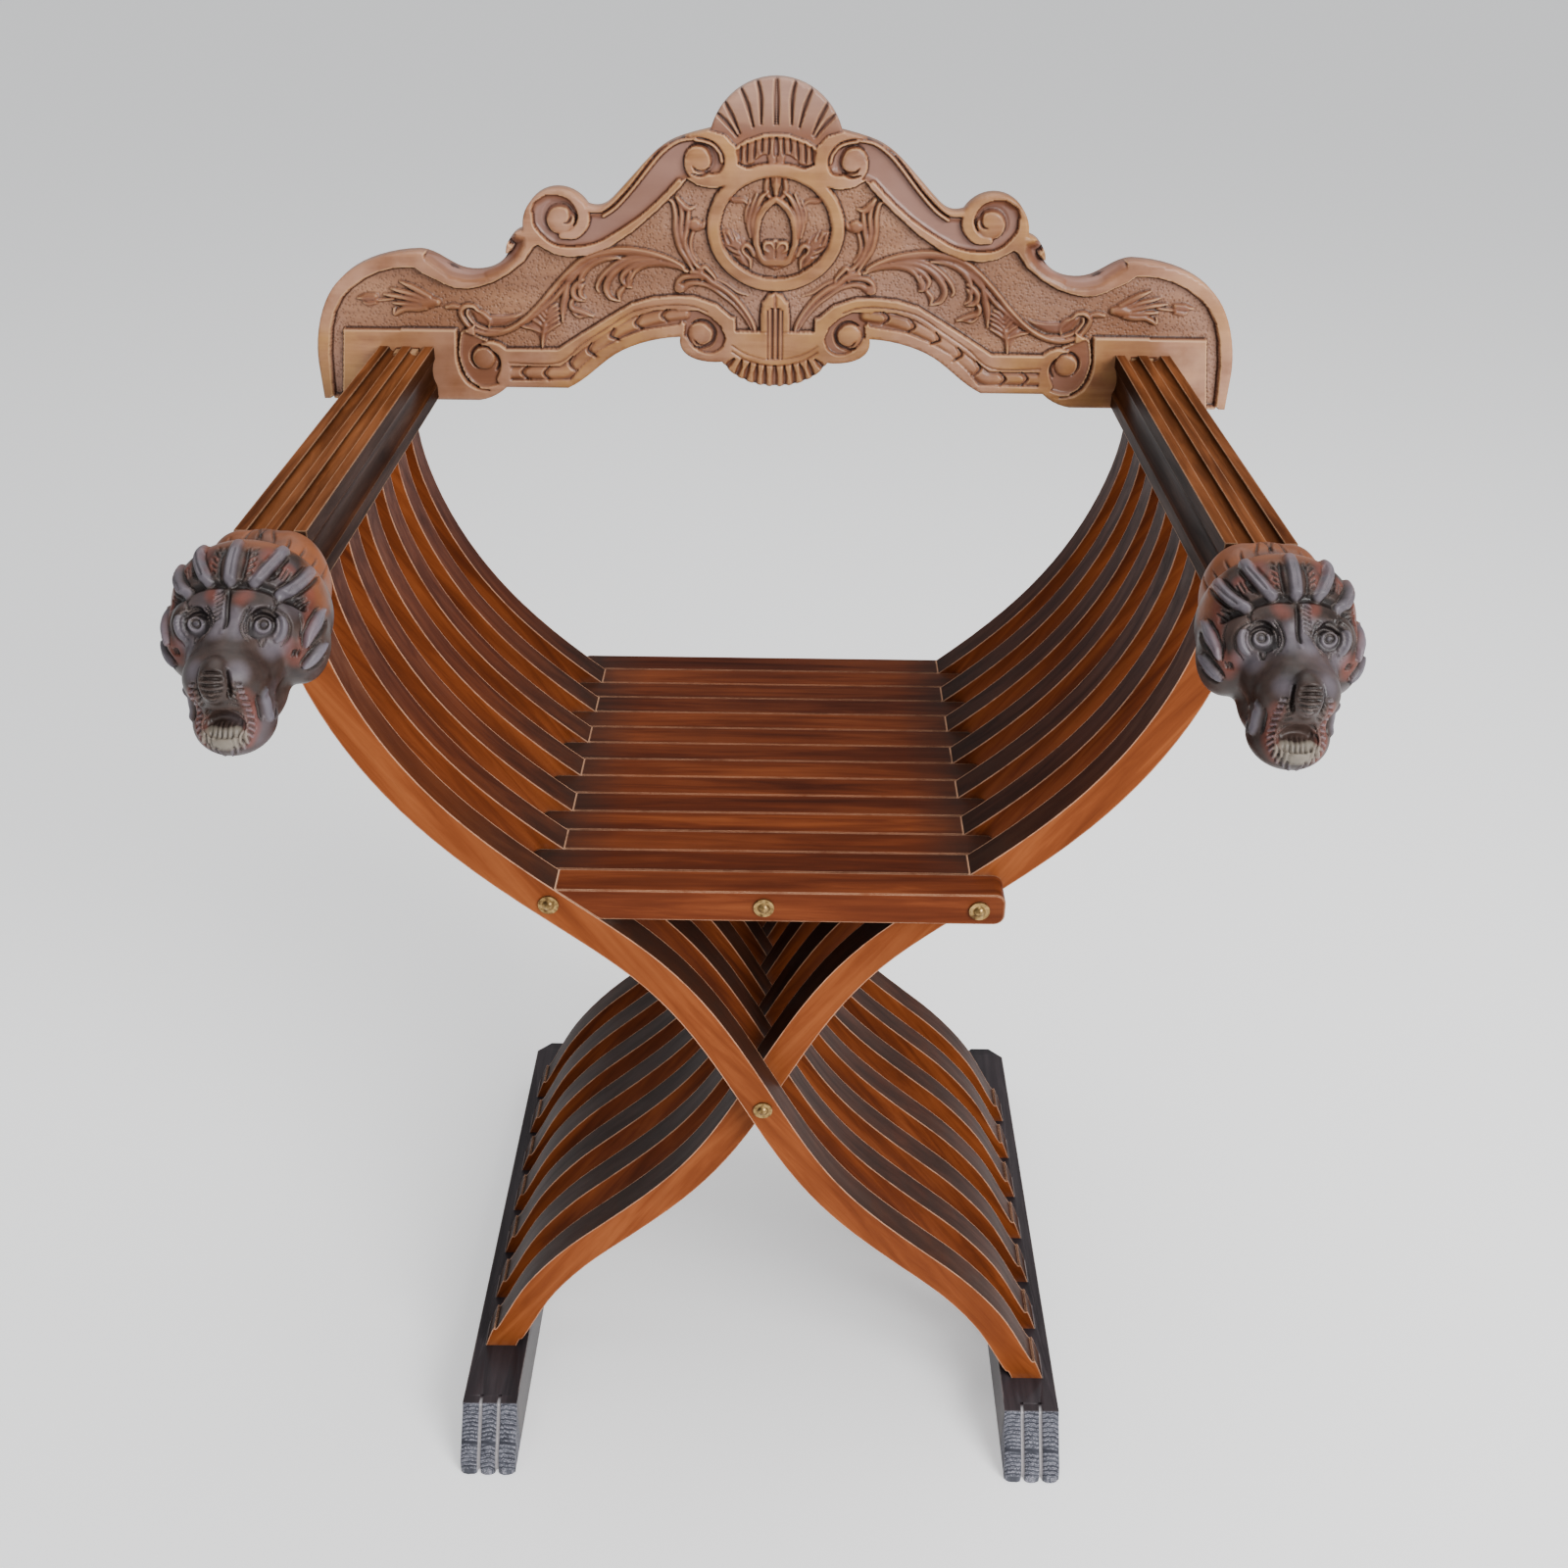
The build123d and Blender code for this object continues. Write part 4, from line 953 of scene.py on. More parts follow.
def make_back_rail():
    """The carved rail: a board cut to the CAD outline, its face carved with gouges."""
    low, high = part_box("back_rail")
    front, back, foot = low.y * 1000, high.y * 1000, low.z * 1000
    outline = board_outline(back, foot)
    work = Carving(0.5, (0.0, -3.0), (341.0, 229.0))
    carve_rail(work)
    flat = np.vstack([outline, carved_points(work, outline, 0.95)])
    rim = len(outline)
    turn = list(range(rim))
    ring = [(n, (n + 1) % rim) for n in turn]
    found = delaunay_2d_cdt([Vector(p) for p in flat], ring, [turn], 1, 1e-5)
    flat = np.array([tuple(p) for p in found[0]])
    place = {s[0]: n for n, s in enumerate(found[3]) if s}
    edge = [place[n] for n in turn]
    height = read_off(work.height, work, flat)
    depth = RELIEF - height
    depth[edge] += 0.5
    face = np.c_[flat[:, 0], front + np.maximum(depth, 0.05), foot + flat[:, 1]]
    chamfer = 0.6
    centre = flat[edge]
    rear = np.c_[centre[:, 0], np.full(rim, back - chamfer), foot + centre[:, 1]]
    tangent = np.roll(centre, -1, axis=0) - np.roll(centre, 1, axis=0)
    inward = np.c_[-tangent[:, 1], tangent[:, 0]] / (np.linalg.norm(tangent, axis=1)[:, None] + 1e-9)
    last = np.c_[
        centre[:, 0] + chamfer * inward[:, 0],
        np.full(rim, back),
        foot + centre[:, 1] + chamfer * inward[:, 1],
    ]
    n = len(flat)
    walls = []
    for a, b in ring:
        walls.append((edge[a], n + a, n + b, edge[b]))
        walls.append((n + a, n + rim + a, n + rim + b, n + b))
    closing = delaunay_2d_cdt([Vector((p[0], p[2])) for p in last], ring, [turn], 1, 1e-5)
    index = [n + rim + s[0] for s in closing[3]]
    backs = [tuple(index[v] for v in f) for f in closing[2]]
    mesh = bpy.data.meshes.new("carved_back_rail")
    points = np.vstack([face, rear, last]) / 1000
    mesh.from_pydata([tuple(p) for p in points], [], [tuple(f) for f in found[2]] + walls + backs)
    shaped = bmesh.new()
    shaped.from_mesh(mesh)
    bmesh.ops.recalc_face_normals(shaped, faces=shaped.faces)
    for f in shaped.faces:
        f.smooth = abs(f.normal.y) < 0.999 or f.calc_center_median().y * 1000 < back - 1
    shaped.to_mesh(mesh)
    shaped.free()
    hollow = soften(work.height, max(1, round(1.6 / work.cell))) - work.height
    edges = np.zeros(2 * rim)
    keep_marks(
        mesh,
        punched=np.r_[read_off(work.punched, work, flat), edges],
        level=np.r_[np.clip(height / RELIEF, -1, 1), edges + 0.9],
        hollow=np.r_[read_off(hollow, work, flat), edges],
    )
    return put_out("carved_back_rail", mesh)


KEY_NECK, KEY_WIDE, KEY_DEEP, KEY_TALL, SLOT_OVER = 0.0083, 0.0113, 0.0083, 0.03825, 0.001


def cut_key_slots(rail):
    """Dovetail slots in the face, open at the foot, where the rail drops over its keys."""
    front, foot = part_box("back_rail")[0].yz
    plan = [
        (-KEY_NECK, front - SLOT_OVER), (KEY_NECK, front - SLOT_OVER), (KEY_NECK, front),
        (KEY_WIDE, front + KEY_DEEP), (-KEY_WIDE, front + KEY_DEEP), (-KEY_NECK, front),
    ]
    sides = [(n, (n + 1) % 6, 6 + (n + 1) % 6, 6 + n) for n in range(6)]
    for side in (-1, 1):
        points = [(side * ARM_MIDDLE + x, y, z) for z in (foot - SLOT_OVER, foot + KEY_TALL) for x, y in plan]
        mesh = bpy.data.meshes.new("slot_cutter")
        mesh.from_pydata(points, [], [(5, 4, 3, 2, 1, 0), (6, 7, 8, 9, 10, 11), *sides])
        cut_away(rail, put_out("slot_cutter", mesh))


def carved_rail_wood():
    """Honey-brown walnut: rubbed pale on the high wood, punched ground, dark in the cuts with stain
    and painted shadow, painted shade on the low wood, pinkish painted highlights there and on the crest.
    """
    b, lay_on = blank_finish("carved rail wood", 0.2)
    here = b.here()
    grain = laid_grain(b, here, ((0.16, 0.055, 0.022), (0.29, 0.12, 0.053), (0.43, 0.205, 0.1)))
    wood = grain["Color"]
    level, hollow, punched = (b.mark(name) for name in ("level", "hollow", "punched"))
    rubbed = b.times(b.spread(level, 0.82, 1.0), b.spread(b.noise(here, 26.0), 0.3, 0.62), True)
    patch = b.spread(b.noise(b.place(here, shift=(0.1, 0.7, 0.3)), 9.0, 3.0, 0.5), 0.44, 0.58)
    polish = b.blend(patch, (0.47, 0.235, 0.07), (0.52, 0.28, 0.18))
    wood = b.blend(b.times(rubbed, 0.65), wood, polish)
    # Painted sheen: pinkish grey in patches, the more the lower the wood lies.
    grey = b.times(b.spread(b.noise(here, 14.0, 3.0), 0.45, 0.7), 0.7)
    wood = b.blend(b.times(b.spread(level, 0.97, 0.4), grey), wood, (0.38, 0.215, 0.165))
    wood = b.blend(b.times(punched, 0.45), wood, (0.34, 0.18, 0.11))
    # Painted shade: the lower carved wood, off the punched ground, is darker.
    painted_low_shade = b.sum("SUBTRACT", b.spread(level, 0.86, 0.5), punched, True)
    wood = b.blend(b.times(painted_low_shade, 0.62), wood, (0.17, 0.062, 0.036))
    # Painted highlight: pinkish grey on the lowest carved wood, in the bottoms of the coves.
    floor = b.sum("SUBTRACT", b.spread(level, 0.3, 0.1), punched, True)
    wood = b.blend(b.times(floor, 0.6), wood, (0.31, 0.17, 0.135))
    # Painted highlight: the top of the crest is paler and pinker.
    crest = b.spread(b.axis(here, "Z"), 0.878, 0.905, 0.0, 0.55)
    wood = b.blend(crest, wood, (0.45, 0.28, 0.22))
    stain = b.spread(b.noise(b.place(here, shift=(0.5, 0.2, 0.1)), 11.0, 3.0, 0.55), 0.46, 0.7, 0.0, 0.5)
    wood = b.blend(stain, wood, (0.15, 0.052, 0.02))
    # Dark in the cuts and beside the raised carving: partly dark stain, partly painted shadow.
    wood = b.blend(b.spread(hollow, 0.2, 1.1, 0.0, 0.92), wood, (0.035, 0.011, 0.006))
    wood = b.blend(b.spread(hollow, -0.3, -1.1, 0.0, 0.5), wood, (0.62, 0.36, 0.18))
    dents = b.node("TexVoronoi", {"Vector": b.place(here, (1, 0.2, 1)), "Scale": 450}, feature="F1")
    dent = b.times(b.spread(dents.outputs["Distance"], 0.1, 0.55), punched)
    wood = b.blend(b.times(b.sum("SUBTRACT", punched, dent), 0.42, True), wood, (0.07, 0.026, 0.013))
    height = b.sum("ADD", b.times(grain["Height"], 0.3), dent)
    return lay_on(wood, b.spread(grain["Figure"], 0.3, 0.7, 0.5, 0.34), height, 0.7, 0.0007)


rail = make_back_rail()
cut_key_slots(rail)
stand_in(rail, carved_rail_wood(), "back", "back_rail")


# ---- feet with toes, in millimetres -------------------------------------------------
TOE_BACK, TOE_BEND, TOE_FRONT, TOE_LIP, FOOT_TOP, FOOT_HALF = -150.0, -156.0, -187.0, 7.0, 43.0, 20.25
TOE_SLOPE = float(np.hypot(TOE_BEND - TOE_FRONT, FOOT_TOP - TOE_LIP))
TOE_PITCH, TOE_HALF = 13.5, 6.75


def wander(places, cell, seed):
    """Smooth chance between nought and one along a row of places."""
    knots = np.random.default_rng(seed).random(600)
    return np.interp(places / cell % 598, np.arange(600), knots)


def toe_relief(across, down, seed):
    """How far each point of the toes lies off the plain slope, and how hairy, how cut and
    how open it is. across runs from the foot's middle, down from the slope's top."""
    toe = np.clip(np.round(across / TOE_PITCH), -1, 1)
    off = (across - TOE_PITCH * toe) / TOE_HALF
    groove = np.clip((np.abs(off) * TOE_HALF - 5.3) / 0.8, 0, 1) * (np.abs(across) < 14.5)
    groove = groove * np.clip(down / 5 + 1, 0, 1)
    hairy = np.clip(down / 1.2, 0, 1) * (1 - groove)
    waver = wander(across * 1.7 + toe * 37 + 90, 2.1, seed)
    waver = waver + 0.5 * wander(down * 2 + toe * 11 + 60, 3.0, seed + 1)
    row = down / (3.1 + 0.3 * toe) + 0.6 * (1 - off**2) + 0.3 * waver + 0.31 * toe
    notch = np.clip(1 - np.abs(row % 1 - 0.5) / 0.27, 0, 1)
    finer = row * 2.1 + 0.3 * wander(across * 3 + 90, 1.0, seed + 2)
    fine = np.clip(1 - np.abs(finer % 1 - 0.5) / 0.3, 0, 1)
    strong = 0.5 + 0.5 * wander(down + 9 * off + 31 * toe + 60, 2.3, seed + 3)
    knuckle = np.exp(-(((down - 28.5 - 0.8 * off) / 0.9) ** 2))
    cut = np.clip(np.maximum(notch, 0.5 * fine) * strong + knuckle, 0, 1) * hairy
    tip = np.clip((down - TOE_SLOPE + 9) / 9, 0, 1)
    crown = 1.5 * np.abs(off) ** 3 * np.clip(down / 7, 0, 1) + tip**2 * (2.6 * np.abs(off) ** 2.4 + 1.2)
    return -crown - 3.2 * groove - 1.0 * cut, hairy, cut, groove


def carve_toes(middle, seed):
    bpy.ops.object.select_all(action="DESELECT")
    bpy.ops.mesh.primitive_grid_add(x_subdivisions=140, y_subdivisions=180, size=2, location=(0, 0, 0))
    toes = bpy.context.object
    flat = np.empty(len(toes.data.vertices) * 3)
    toes.data.vertices.foreach_get("co", flat)
    flat = flat.reshape(-1, 3)
    across = flat[:, 0] * FOOT_HALF
    down = (1 - flat[:, 1]) / 2 * (TOE_BACK - TOE_BEND + TOE_SLOPE) - (TOE_BACK - TOE_BEND)
    lift, hairy, cut, groove = toe_relief(across, down, seed)
    slid = np.clip(down, 0, None) / TOE_SLOPE
    bent = np.clip(down / 1.5, 0, 1)
    facing_y = -(FOOT_TOP - TOE_LIP) / TOE_SLOPE * bent
    facing_z = 1 - bent * (1 - (TOE_BEND - TOE_FRONT) / TOE_SLOPE)
    y = TOE_BEND - np.minimum(down, 0) + slid * (TOE_FRONT - TOE_BEND) + facing_y * lift
    z = FOOT_TOP + slid * (TOE_LIP - FOOT_TOP) + facing_z * lift
    toes.data.vertices.foreach_set("co", (np.stack([middle + across, y, z], axis=1) / 1000).ravel())
    toes.data.update()
    keep_marks(toes.data, hairy=hairy, cut=cut, groove=groove)
    on_all_of(
        toes,
        bpy.ops.mesh.region_to_loop,
        lambda: bpy.ops.mesh.extrude_region_move(TRANSFORM_OT_translate={"value": (0, 0, -0.01)}),
        lambda: bpy.ops.transform.resize(value=(1, 1, 0), center_override=(0, 0, 0)),
        bpy.ops.mesh.edge_face_add,
        lambda: bpy.ops.mesh.select_all(action="SELECT"),
        lambda: bpy.ops.mesh.normals_make_consistent(inside=False),
    )
    return toes


def dress_foot(node, name, body, seed):
    low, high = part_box(node)
    toes = carve_toes((low[0] + high[0]) / 2 * 1000, seed)
    runner = put_out(name, nodes[node].data.copy())
    trim = dict(plane_co=(0, TOE_BACK / 1000, 0), plane_no=(0, 1, 0), use_fill=True, clear_inner=True)
    on_all_of(
        runner, lambda: bpy.ops.mesh.remove_doubles(threshold=0.000001), lambda: bpy.ops.mesh.bisect(**trim)
    )
    toes.select_set(True)
    bpy.ops.object.join()
    bpy.ops.object.shade_smooth_by_angle(angle=radians(40))
    stand_in(runner, foot_wood, body, node)


def carved_foot_wood():
    """Near-black runner, with grey dust in the hair of the toes, painted shade in its notches and pale dust
    between the toes.
    """
    b, lay_on = blank_finish("carved foot wood", shine=0.2)
    here = b.here()
    tones = (0.02, 0.0155, 0.0175), (0.037, 0.029, 0.032), (0.06, 0.046, 0.05)
    grain = laid_grain(b, b.place(here, turn=ALONG_Y), tones)
    hairy, cut, groove = (b.mark(name) for name in ("hairy", "cut", "groove"))
    speck = b.noise(here, 900.0, 3.0)
    broad = b.spread(b.noise(here, 120.0, 3.0), 0.35, 0.65)
    bloom = b.blend(broad, (0.035, 0.038, 0.05), (0.09, 0.095, 0.115))
    wood = b.blend(b.times(hairy, 0.92), grain["Color"], bloom)
    ridge = b.times(b.spread(cut, 0.35, 0.05), b.spread(speck, 0.4, 0.62, 0.0, 0.85))
    wood = b.blend(b.times(ridge, hairy), wood, (0.33, 0.325, 0.38))
    # Painted shade: the notches of the hair are darker.
    wood = b.blend(b.spread(cut, 0.3, 1.0, 0.0, 0.8), wood, (0.028, 0.028, 0.038))
    wood = b.blend(b.times(groove, 0.9), wood, (0.66, 0.63, 0.64))
    edge = b.times(b.mask(worn_edges, here, 0.7), b.spread(b.axis(here, "Y"), -0.148, -0.142))
    wood = b.blend(edge, wood, (0.3, 0.25, 0.24))
    height = b.sum("ADD", grain["Height"], b.times(speck, hairy))
    return lay_on(wood, b.sum("ADD", b.times(hairy, 0.2), 0.42), height, 0.3)


foot_wood = carved_foot_wood()
dress_foot("left_foot", "carved_left_foot", "right_frame", 11)
dress_foot("right_foot", "carved_right_foot", "left_frame", 47)


# ---- lion heads, in millimetres -----------------------------------------------------
# Lumps that the head is roughed out from: x from the head's middle, y and z of the centre,
# the three half sizes, and the turn about x in degrees.
HEAD_LUMPS = [
    ((0, -184, 701.5), (42, 34, 41), 20),
    ((0, -160, 700), (34, 22, 32), 0),
    ((0, -151, 704), (28, 19, 30.5), 0),
    ((12, -151, 703.5), (21.5, 19.5, 30), 0),
    ((-12, -151, 703.5), (21.5, 19.5, 30), 0),
    ((0, -204, 708), (31, 21, 21), 25),
    ((27, -199, 692), (16, 22, 24), 10),
    ((-27, -199, 692), (16, 22, 24), 10),
    ((20, -211, 706), (14, 13, 14), 0),
    ((-20, -211, 706), (14, 13, 14), 0),
    ((0, -226, 701), (15, 20, 13), 15),
    ((0, -222, 690), (25, 24, 21), 20),
    ((0, -240, 690), (21.5, 19, 17.5), 10),
    ((0, -233, 676), (21, 20, 20), 0),
    ((0, -211, 669), (21, 28, 20), 14),
    ((0, -236, 664), (21.5, 23, 16.5), 8),
    ((0, -203, 682), (28, 23, 23), 0),
    ((6.5, -250, 688.5), (6, 9, 5.5), 0),
    ((-6.5, -250, 688.5), (6, 9, 5.5), 0),
]
NOSE = ((0, -251.5, 694.5), (9.4, 11.5, 12.5), -20)
MOUTH = ((0, -261, 673), (13.8, 15, 8.4), -16)
TEETH = ((0, -248.5, 664.5), (12.4, 8.4, 5.4), 18)


def lump(centre, halves, turn):
    bpy.ops.object.select_all(action="DESELECT")
    bpy.ops.mesh.primitive_uv_sphere_add(
        segments=32, ring_count=20, radius=1, location=[v / 1000 for v in centre],
        rotation=(radians(turn), 0, 0), scale=[h / 1000 for h in halves],
    )
    bpy.ops.object.transform_apply(location=True, rotation=True, scale=True)
    return bpy.context.object


def one_skin(pieces, cell, rounds):
    take_up(pieces[0])
    for piece in pieces:
        piece.select_set(True)
    if len(pieces) > 1:
        bpy.ops.object.join()
    skin = pieces[0].modifiers.new("one skin", "REMESH")
    skin.mode = "VOXEL"
    skin.voxel_size = cell / 1000
    bpy.ops.object.modifier_apply(modifier=skin.name)
    soft = pieces[0].modifiers.new("soften", "SMOOTH")
    soft.factor = 0.8
    soft.iterations = rounds
    bpy.ops.object.modifier_apply(modifier=soft.name)
    return pieces[0]


def rough_out_head():
    head = one_skin([lump(*given) for given in HEAD_LUMPS], 1.1, 14)
    head = one_skin([head, lump(*NOSE)], 0.9, 5)
    cut_away(head, lump(*MOUTH))
    return one_skin([head, lump(*TEETH)], 0.74, 2)


MANE = [
    [
        (31.5 * cos(turn), -167, 702 + 30.5 * sin(turn)),
        (32.5 * cos(turn), -158, 702.5 + 31.5 * sin(turn)),
        (32 * cos(turn + 0.12), -146, 702.5 + 30 * sin(turn + 0.12)),
    ]
    for turn in (radians(angle) for angle in (15, 30, 45, 60, 75, 88))
]
TOOTH_CUTS = [
    [(x, -250, 671), (x, -254.5, 669), (0.97 * x, -256.5, 664), (0.93 * x, -256, 659.5)]
    for x in (-9.6, -6.6, -3.8, -1.2, 1.6, 4.4, 7.2, 9.9)
]
# The strokes of each tool, in the order of carving. An m marks a stroke that is made on both
# sides, and a c one that is made once.
HEAD_CARVING = {
    "lock": [
        ("c", [(0, -189.5, 741.5), (0, -197.5, 740), (0, -204.5, 736.5), (0, -211, 730.5)]),
        ("m", [(21, -184, 736), (19.5, -196, 735.5), (16, -203.5, 733), (12, -209.5, 729.5)]),
        ("m", [(33.5, -185.5, 725), (32.5, -194, 724.5), (29.5, -202, 723), (24, -208, 722)]),
    ],
    "lock groove": [
        ("c", [(0, -194.5, 741), (0, -201.5, 738.5), (0, -206.5, 735), (0, -209.5, 732)]),
        ("m", [(21, -191.5, 735.5), (18, -201, 734), (14, -207.5, 731)]),
        ("m", [(34, -188, 724.5), (31.5, -198, 724), (26.5, -205.5, 722.5)]),
    ],
    "valley": [
        ("m", [(6, -191.5, 741), (7, -201, 738), (6.5, -207.5, 733.5), (5.5, -210.5, 730)]),
        ("m", [(18.5, -189.5, 737.5), (16, -198.5, 736), (13, -204.5, 734), (9.5, -210, 730)]),
        ("m", [(24.5, -187.5, 734), (22, -199.5, 732.5), (18, -207, 728.5)]),
        ("m", [(31.5, -183.5, 727.5), (29.5, -196.5, 727.5), (24, -205.5, 725.5),
              (21.5, -209, 724)]),
        ("m", [(36, -179.5, 720), (34.5, -196.5, 720.5), (29, -205.5, 719)]),
        ("m", [(39, -195, 709.5), (37, -207.5, 708), (35, -215, 703), (34.5, -218, 696.5)]),
        ("m", [(41, -193, 700.5), (40.5, -208.5, 699), (36.5, -216, 695.5)]),
        ("m", [(41.5, -207, 696), (37, -216, 693), (32, -219, 687.5)]),
        ("m", [(42, -204, 686), (39, -210.5, 683), (34, -216.5, 683)]),
        ("m", [(18, -248.5, 685), (16.5, -245, 675.5), (17.5, -246.5, 669)]),
        ("m", [(20.5, -232, 677.5), (19, -225, 667), (21, -237, 666)]),
    ],
    "hair": [
        ("m", [(8, -194.5, 740), (10.5, -190, 740)]),
        ("m", [(8, -199, 738.5), (11, -194.5, 739.5)]),
        ("m", [(8.5, -202.5, 737), (11.5, -198.5, 738)]),
        ("m", [(8.5, -205, 735), (11.5, -202, 736)]),
        ("m", [(8.5, -207.5, 733), (10.5, -205.5, 734)]),
        ("m", [(22, -203.5, 729.5), (24, -197, 732.5)]),
        ("m", [(24, -203, 728.5), (26, -196, 731)]),
        ("m", [(26, -202.5, 727), (27.5, -196, 729.5)]),
        ("m", [(20.5, -205.5, 729), (22.5, -200.5, 731.5)]),
        ("m", [(31, -205.5, 716), (34.5, -200, 717)]),
        ("m", [(32.5, -206.5, 713.5), (36, -199, 714.5)]),
        ("o", [(-7, -215.5, 724.5), (-3, -214, 726.5)]),
        ("o", [(-7, -217.5, 723), (-2.5, -215.5, 725.5)]),
        ("o", [(-7, -219.5, 721.5), (-2, -217.5, 724)]),
        ("o", [(-7, -220.5, 719.5), (-2.5, -219.5, 722)]),
        ("o", [(-7.5, -222, 717.5), (-2.5, -221, 720)]),
        ("o", [(-7.5, -223, 715), (-3, -222, 718)]),
        ("o", [(-7, -224.5, 713.5), (-3.5, -223.5, 716)]),
        ("m", [(30.5, -220, 696.5), (29, -220.5, 693)]),
        ("m", [(31.5, -219.5, 696.5), (30, -220.5, 692.5)]),
        ("m", [(33, -219, 696), (31.5, -220, 692.5)]),
        *[("m", line) for line in MANE],
    ],
    "hairline": [
        ("c", [(0, -212, 729), (0, -212, 729)]),
        ("m", [(3.5, -212, 729), (8.5, -211, 728.5), (13, -210.5, 728), (20, -209, 724.5),
              (24.5, -209, 720.5), (30, -206, 717), (33.5, -204.5, 713.5)]),
    ],
    "red": [
        ("m", [(9, -215, 725), (6.5, -217, 723.5)]),
        ("m", [(30.5, -220, 690), (36, -196.5, 717.5)]),
        ("m", [(9.5, -200.5, 737.5), (10.5, -204.5, 735)]),
        ("m", [(24.5, -200, 730.5), (26, -195.5, 731)]),
        ("m", [(16, -190, 738.5), (15.5, -195.5, 737.5)]),
        ("m", [(14, -248, 677), (14.5, -251, 668), (11, -255, 660.5)]),
        ("m", [(13.5, -254, 687.5), (14.5, -248.5, 679)]),
        ("m", [(28, -220.5, 700), (30.5, -220, 690)]),
    ],
    "brow groove": [
        ("c", [(0, -213.5, 727), (0, -219.5, 721.5), (0, -224, 715.5), (0, -231.5, 712.5)]),
    ],
    "brow ridge": [
        ("c", [(0, -229.5, 713), (0, -234, 711.5)]),
    ],
    "pale": [
        ("o", [(-5, -214, 726.5), (-4.5, -219.5, 721.5), (-5.5, -224.5, 714.5)]),
        ("m", [(4.5, -221.5, 719), (5.5, -233, 711)]),
    ],
    "socket": [
        ("m", [(18, -222, 713)]),
    ],
    "eyeball": [
        ("m", [(17.5, -222.5, 711)]),
    ],
    "lid shade": [
        ("m", [(22.5, -221.5, 713.5), (21.5, -220.5, 715), (20, -219.5, 716),
              (18.5, -219.5, 716.5), (16.5, -219.5, 717), (15, -220.5, 716), (13.5, -221.5, 715),
              (12.5, -222, 713.5)]),
    ],
    "ring": [
        ("m", [(21, -222.5, 711.5), (20.5, -221.5, 713.5), (19.5, -221, 714.5),
              (17.5, -220.5, 715), (15.5, -221, 714.5), (14.5, -222, 713.5),
              (13.5, -222.5, 711.5), (14, -223.5, 710), (15.5, -224, 708.5), (17, -224, 708),
              (19, -223.5, 708.5), (20.5, -223, 709.5), (21, -222.5, 711.5)]),
    ],
    "ring cut": [
        ("m", [(19.5, -222.5, 711.5), (19.5, -222, 713), (18, -221.5, 713.5),
              (16.5, -221.5, 713.5), (15.5, -222, 713), (15, -222.5, 711.5), (15.5, -223, 710),
              (16.5, -223, 709.5), (18, -223, 709.5), (19, -223, 710.5), (19.5, -222.5, 711.5)]),
    ],
    "pupil": [
        ("m", [(17.5, -222.5, 711.5)]),
    ],
    "lid cut": [
        ("m", [(24, -220, 715), (23, -218.5, 716.5), (21.5, -217.5, 717.5), (19.5, -217, 718.5),
              (17.5, -217.5, 719), (15.5, -218.5, 718.5), (14, -219.5, 718), (13, -221, 716.5)]),
        ("m", [(13.5, -220, 718), (12, -221, 716.5), (10.5, -222.5, 715), (10, -223.5, 713),
              (10.5, -225, 711), (11.5, -227, 709), (13, -227.5, 707.5)]),
        ("m", [(12.5, -219, 719.5), (10.5, -221, 718), (9.5, -222.5, 715.5), (8.5, -224, 713),
              (9.5, -227, 711), (10.5, -229, 709), (12.5, -230, 707)]),
        ("m", [(11.5, -218.5, 720.5), (9.5, -220.5, 719), (8, -222.5, 716.5), (7, -224.5, 713.5),
              (8, -228.5, 711.5), (10, -231.5, 709), (12, -232.5, 706.5)]),
        ("m", [(19.5, -216, 719.5), (23.5, -216.5, 718), (28, -217, 715), (30.5, -218.5, 709.5),
              (29, -220.5, 703), (24.5, -222, 698.5)]),
        ("m", [(23.5, -218, 716.5), (26, -220.5, 712.5), (25.5, -222.5, 708), (22, -224, 703.5)]),
        ("m", [(15.5, -226.5, 706), (17, -229, 703.5), (17.5, -230, 702.5)]),
        ("m", [(18.5, -225, 705), (18, -227.5, 703), (17.5, -229.5, 702.5)]),
        ("m", [(21.5, -211, 721.5), (23, -213, 719.5), (22.5, -217, 718)]),
        ("m", [(23, -213, 719.5), (24.5, -211.5, 719.5)]),
        ("m", [(32.5, -209, 712.5), (34.5, -213, 707), (33.5, -217, 702)]),
    ],
    "lid": [
        ("m", [(24.5, -219.5, 715), (27, -221, 711.5), (26, -222.5, 707), (23, -223.5, 702.5)]),
    ],
    "leaf": [
        ("m", [(40.5, -192, 707), (39.5, -202, 705.5), (37.5, -212.5, 702), (35, -217, 696.5)]),
        ("m", [(42.5, -204, 693), (40.5, -210, 691), (37, -215, 688), (32.5, -218, 685.5)]),
    ],
    "leaf vein": [
        ("m", [(40, -196, 706), (39, -209, 703.5), (36.5, -215.5, 699)]),
        ("m", [(41.5, -207.5, 692.5), (39, -213, 690), (35, -217, 687)]),
    ],
    "flew cut": [
        ("m", [(9.5, -255.5, 694.5), (13, -254, 693.5)]),
        ("m", [(10.5, -256, 691.5), (14, -254, 690.5)]),
        ("m", [(11.5, -256, 688.5), (14.5, -253, 686.5)]),
        ("m", [(11.5, -254.5, 684.5), (14.5, -250.5, 682)]),
        ("m", [(11, -252, 680), (14, -248, 677)]),
        ("m", [(11, -250, 675.5), (14, -248, 673)]),
        ("m", [(11.5, -250.5, 672.5), (14.5, -249, 670)]),
        ("m", [(12, -252, 670), (15, -251, 667)]),
        ("m", [(12, -253.5, 667.5), (14.5, -252.5, 664)]),
        ("m", [(11.5, -254.5, 665), (12.5, -254, 660.5)]),
        ("m", [(9.5, -256, 663), (10.5, -254.5, 658)]),
        ("m", [(8, -256.5, 661.5), (7, -255, 655.5)]),
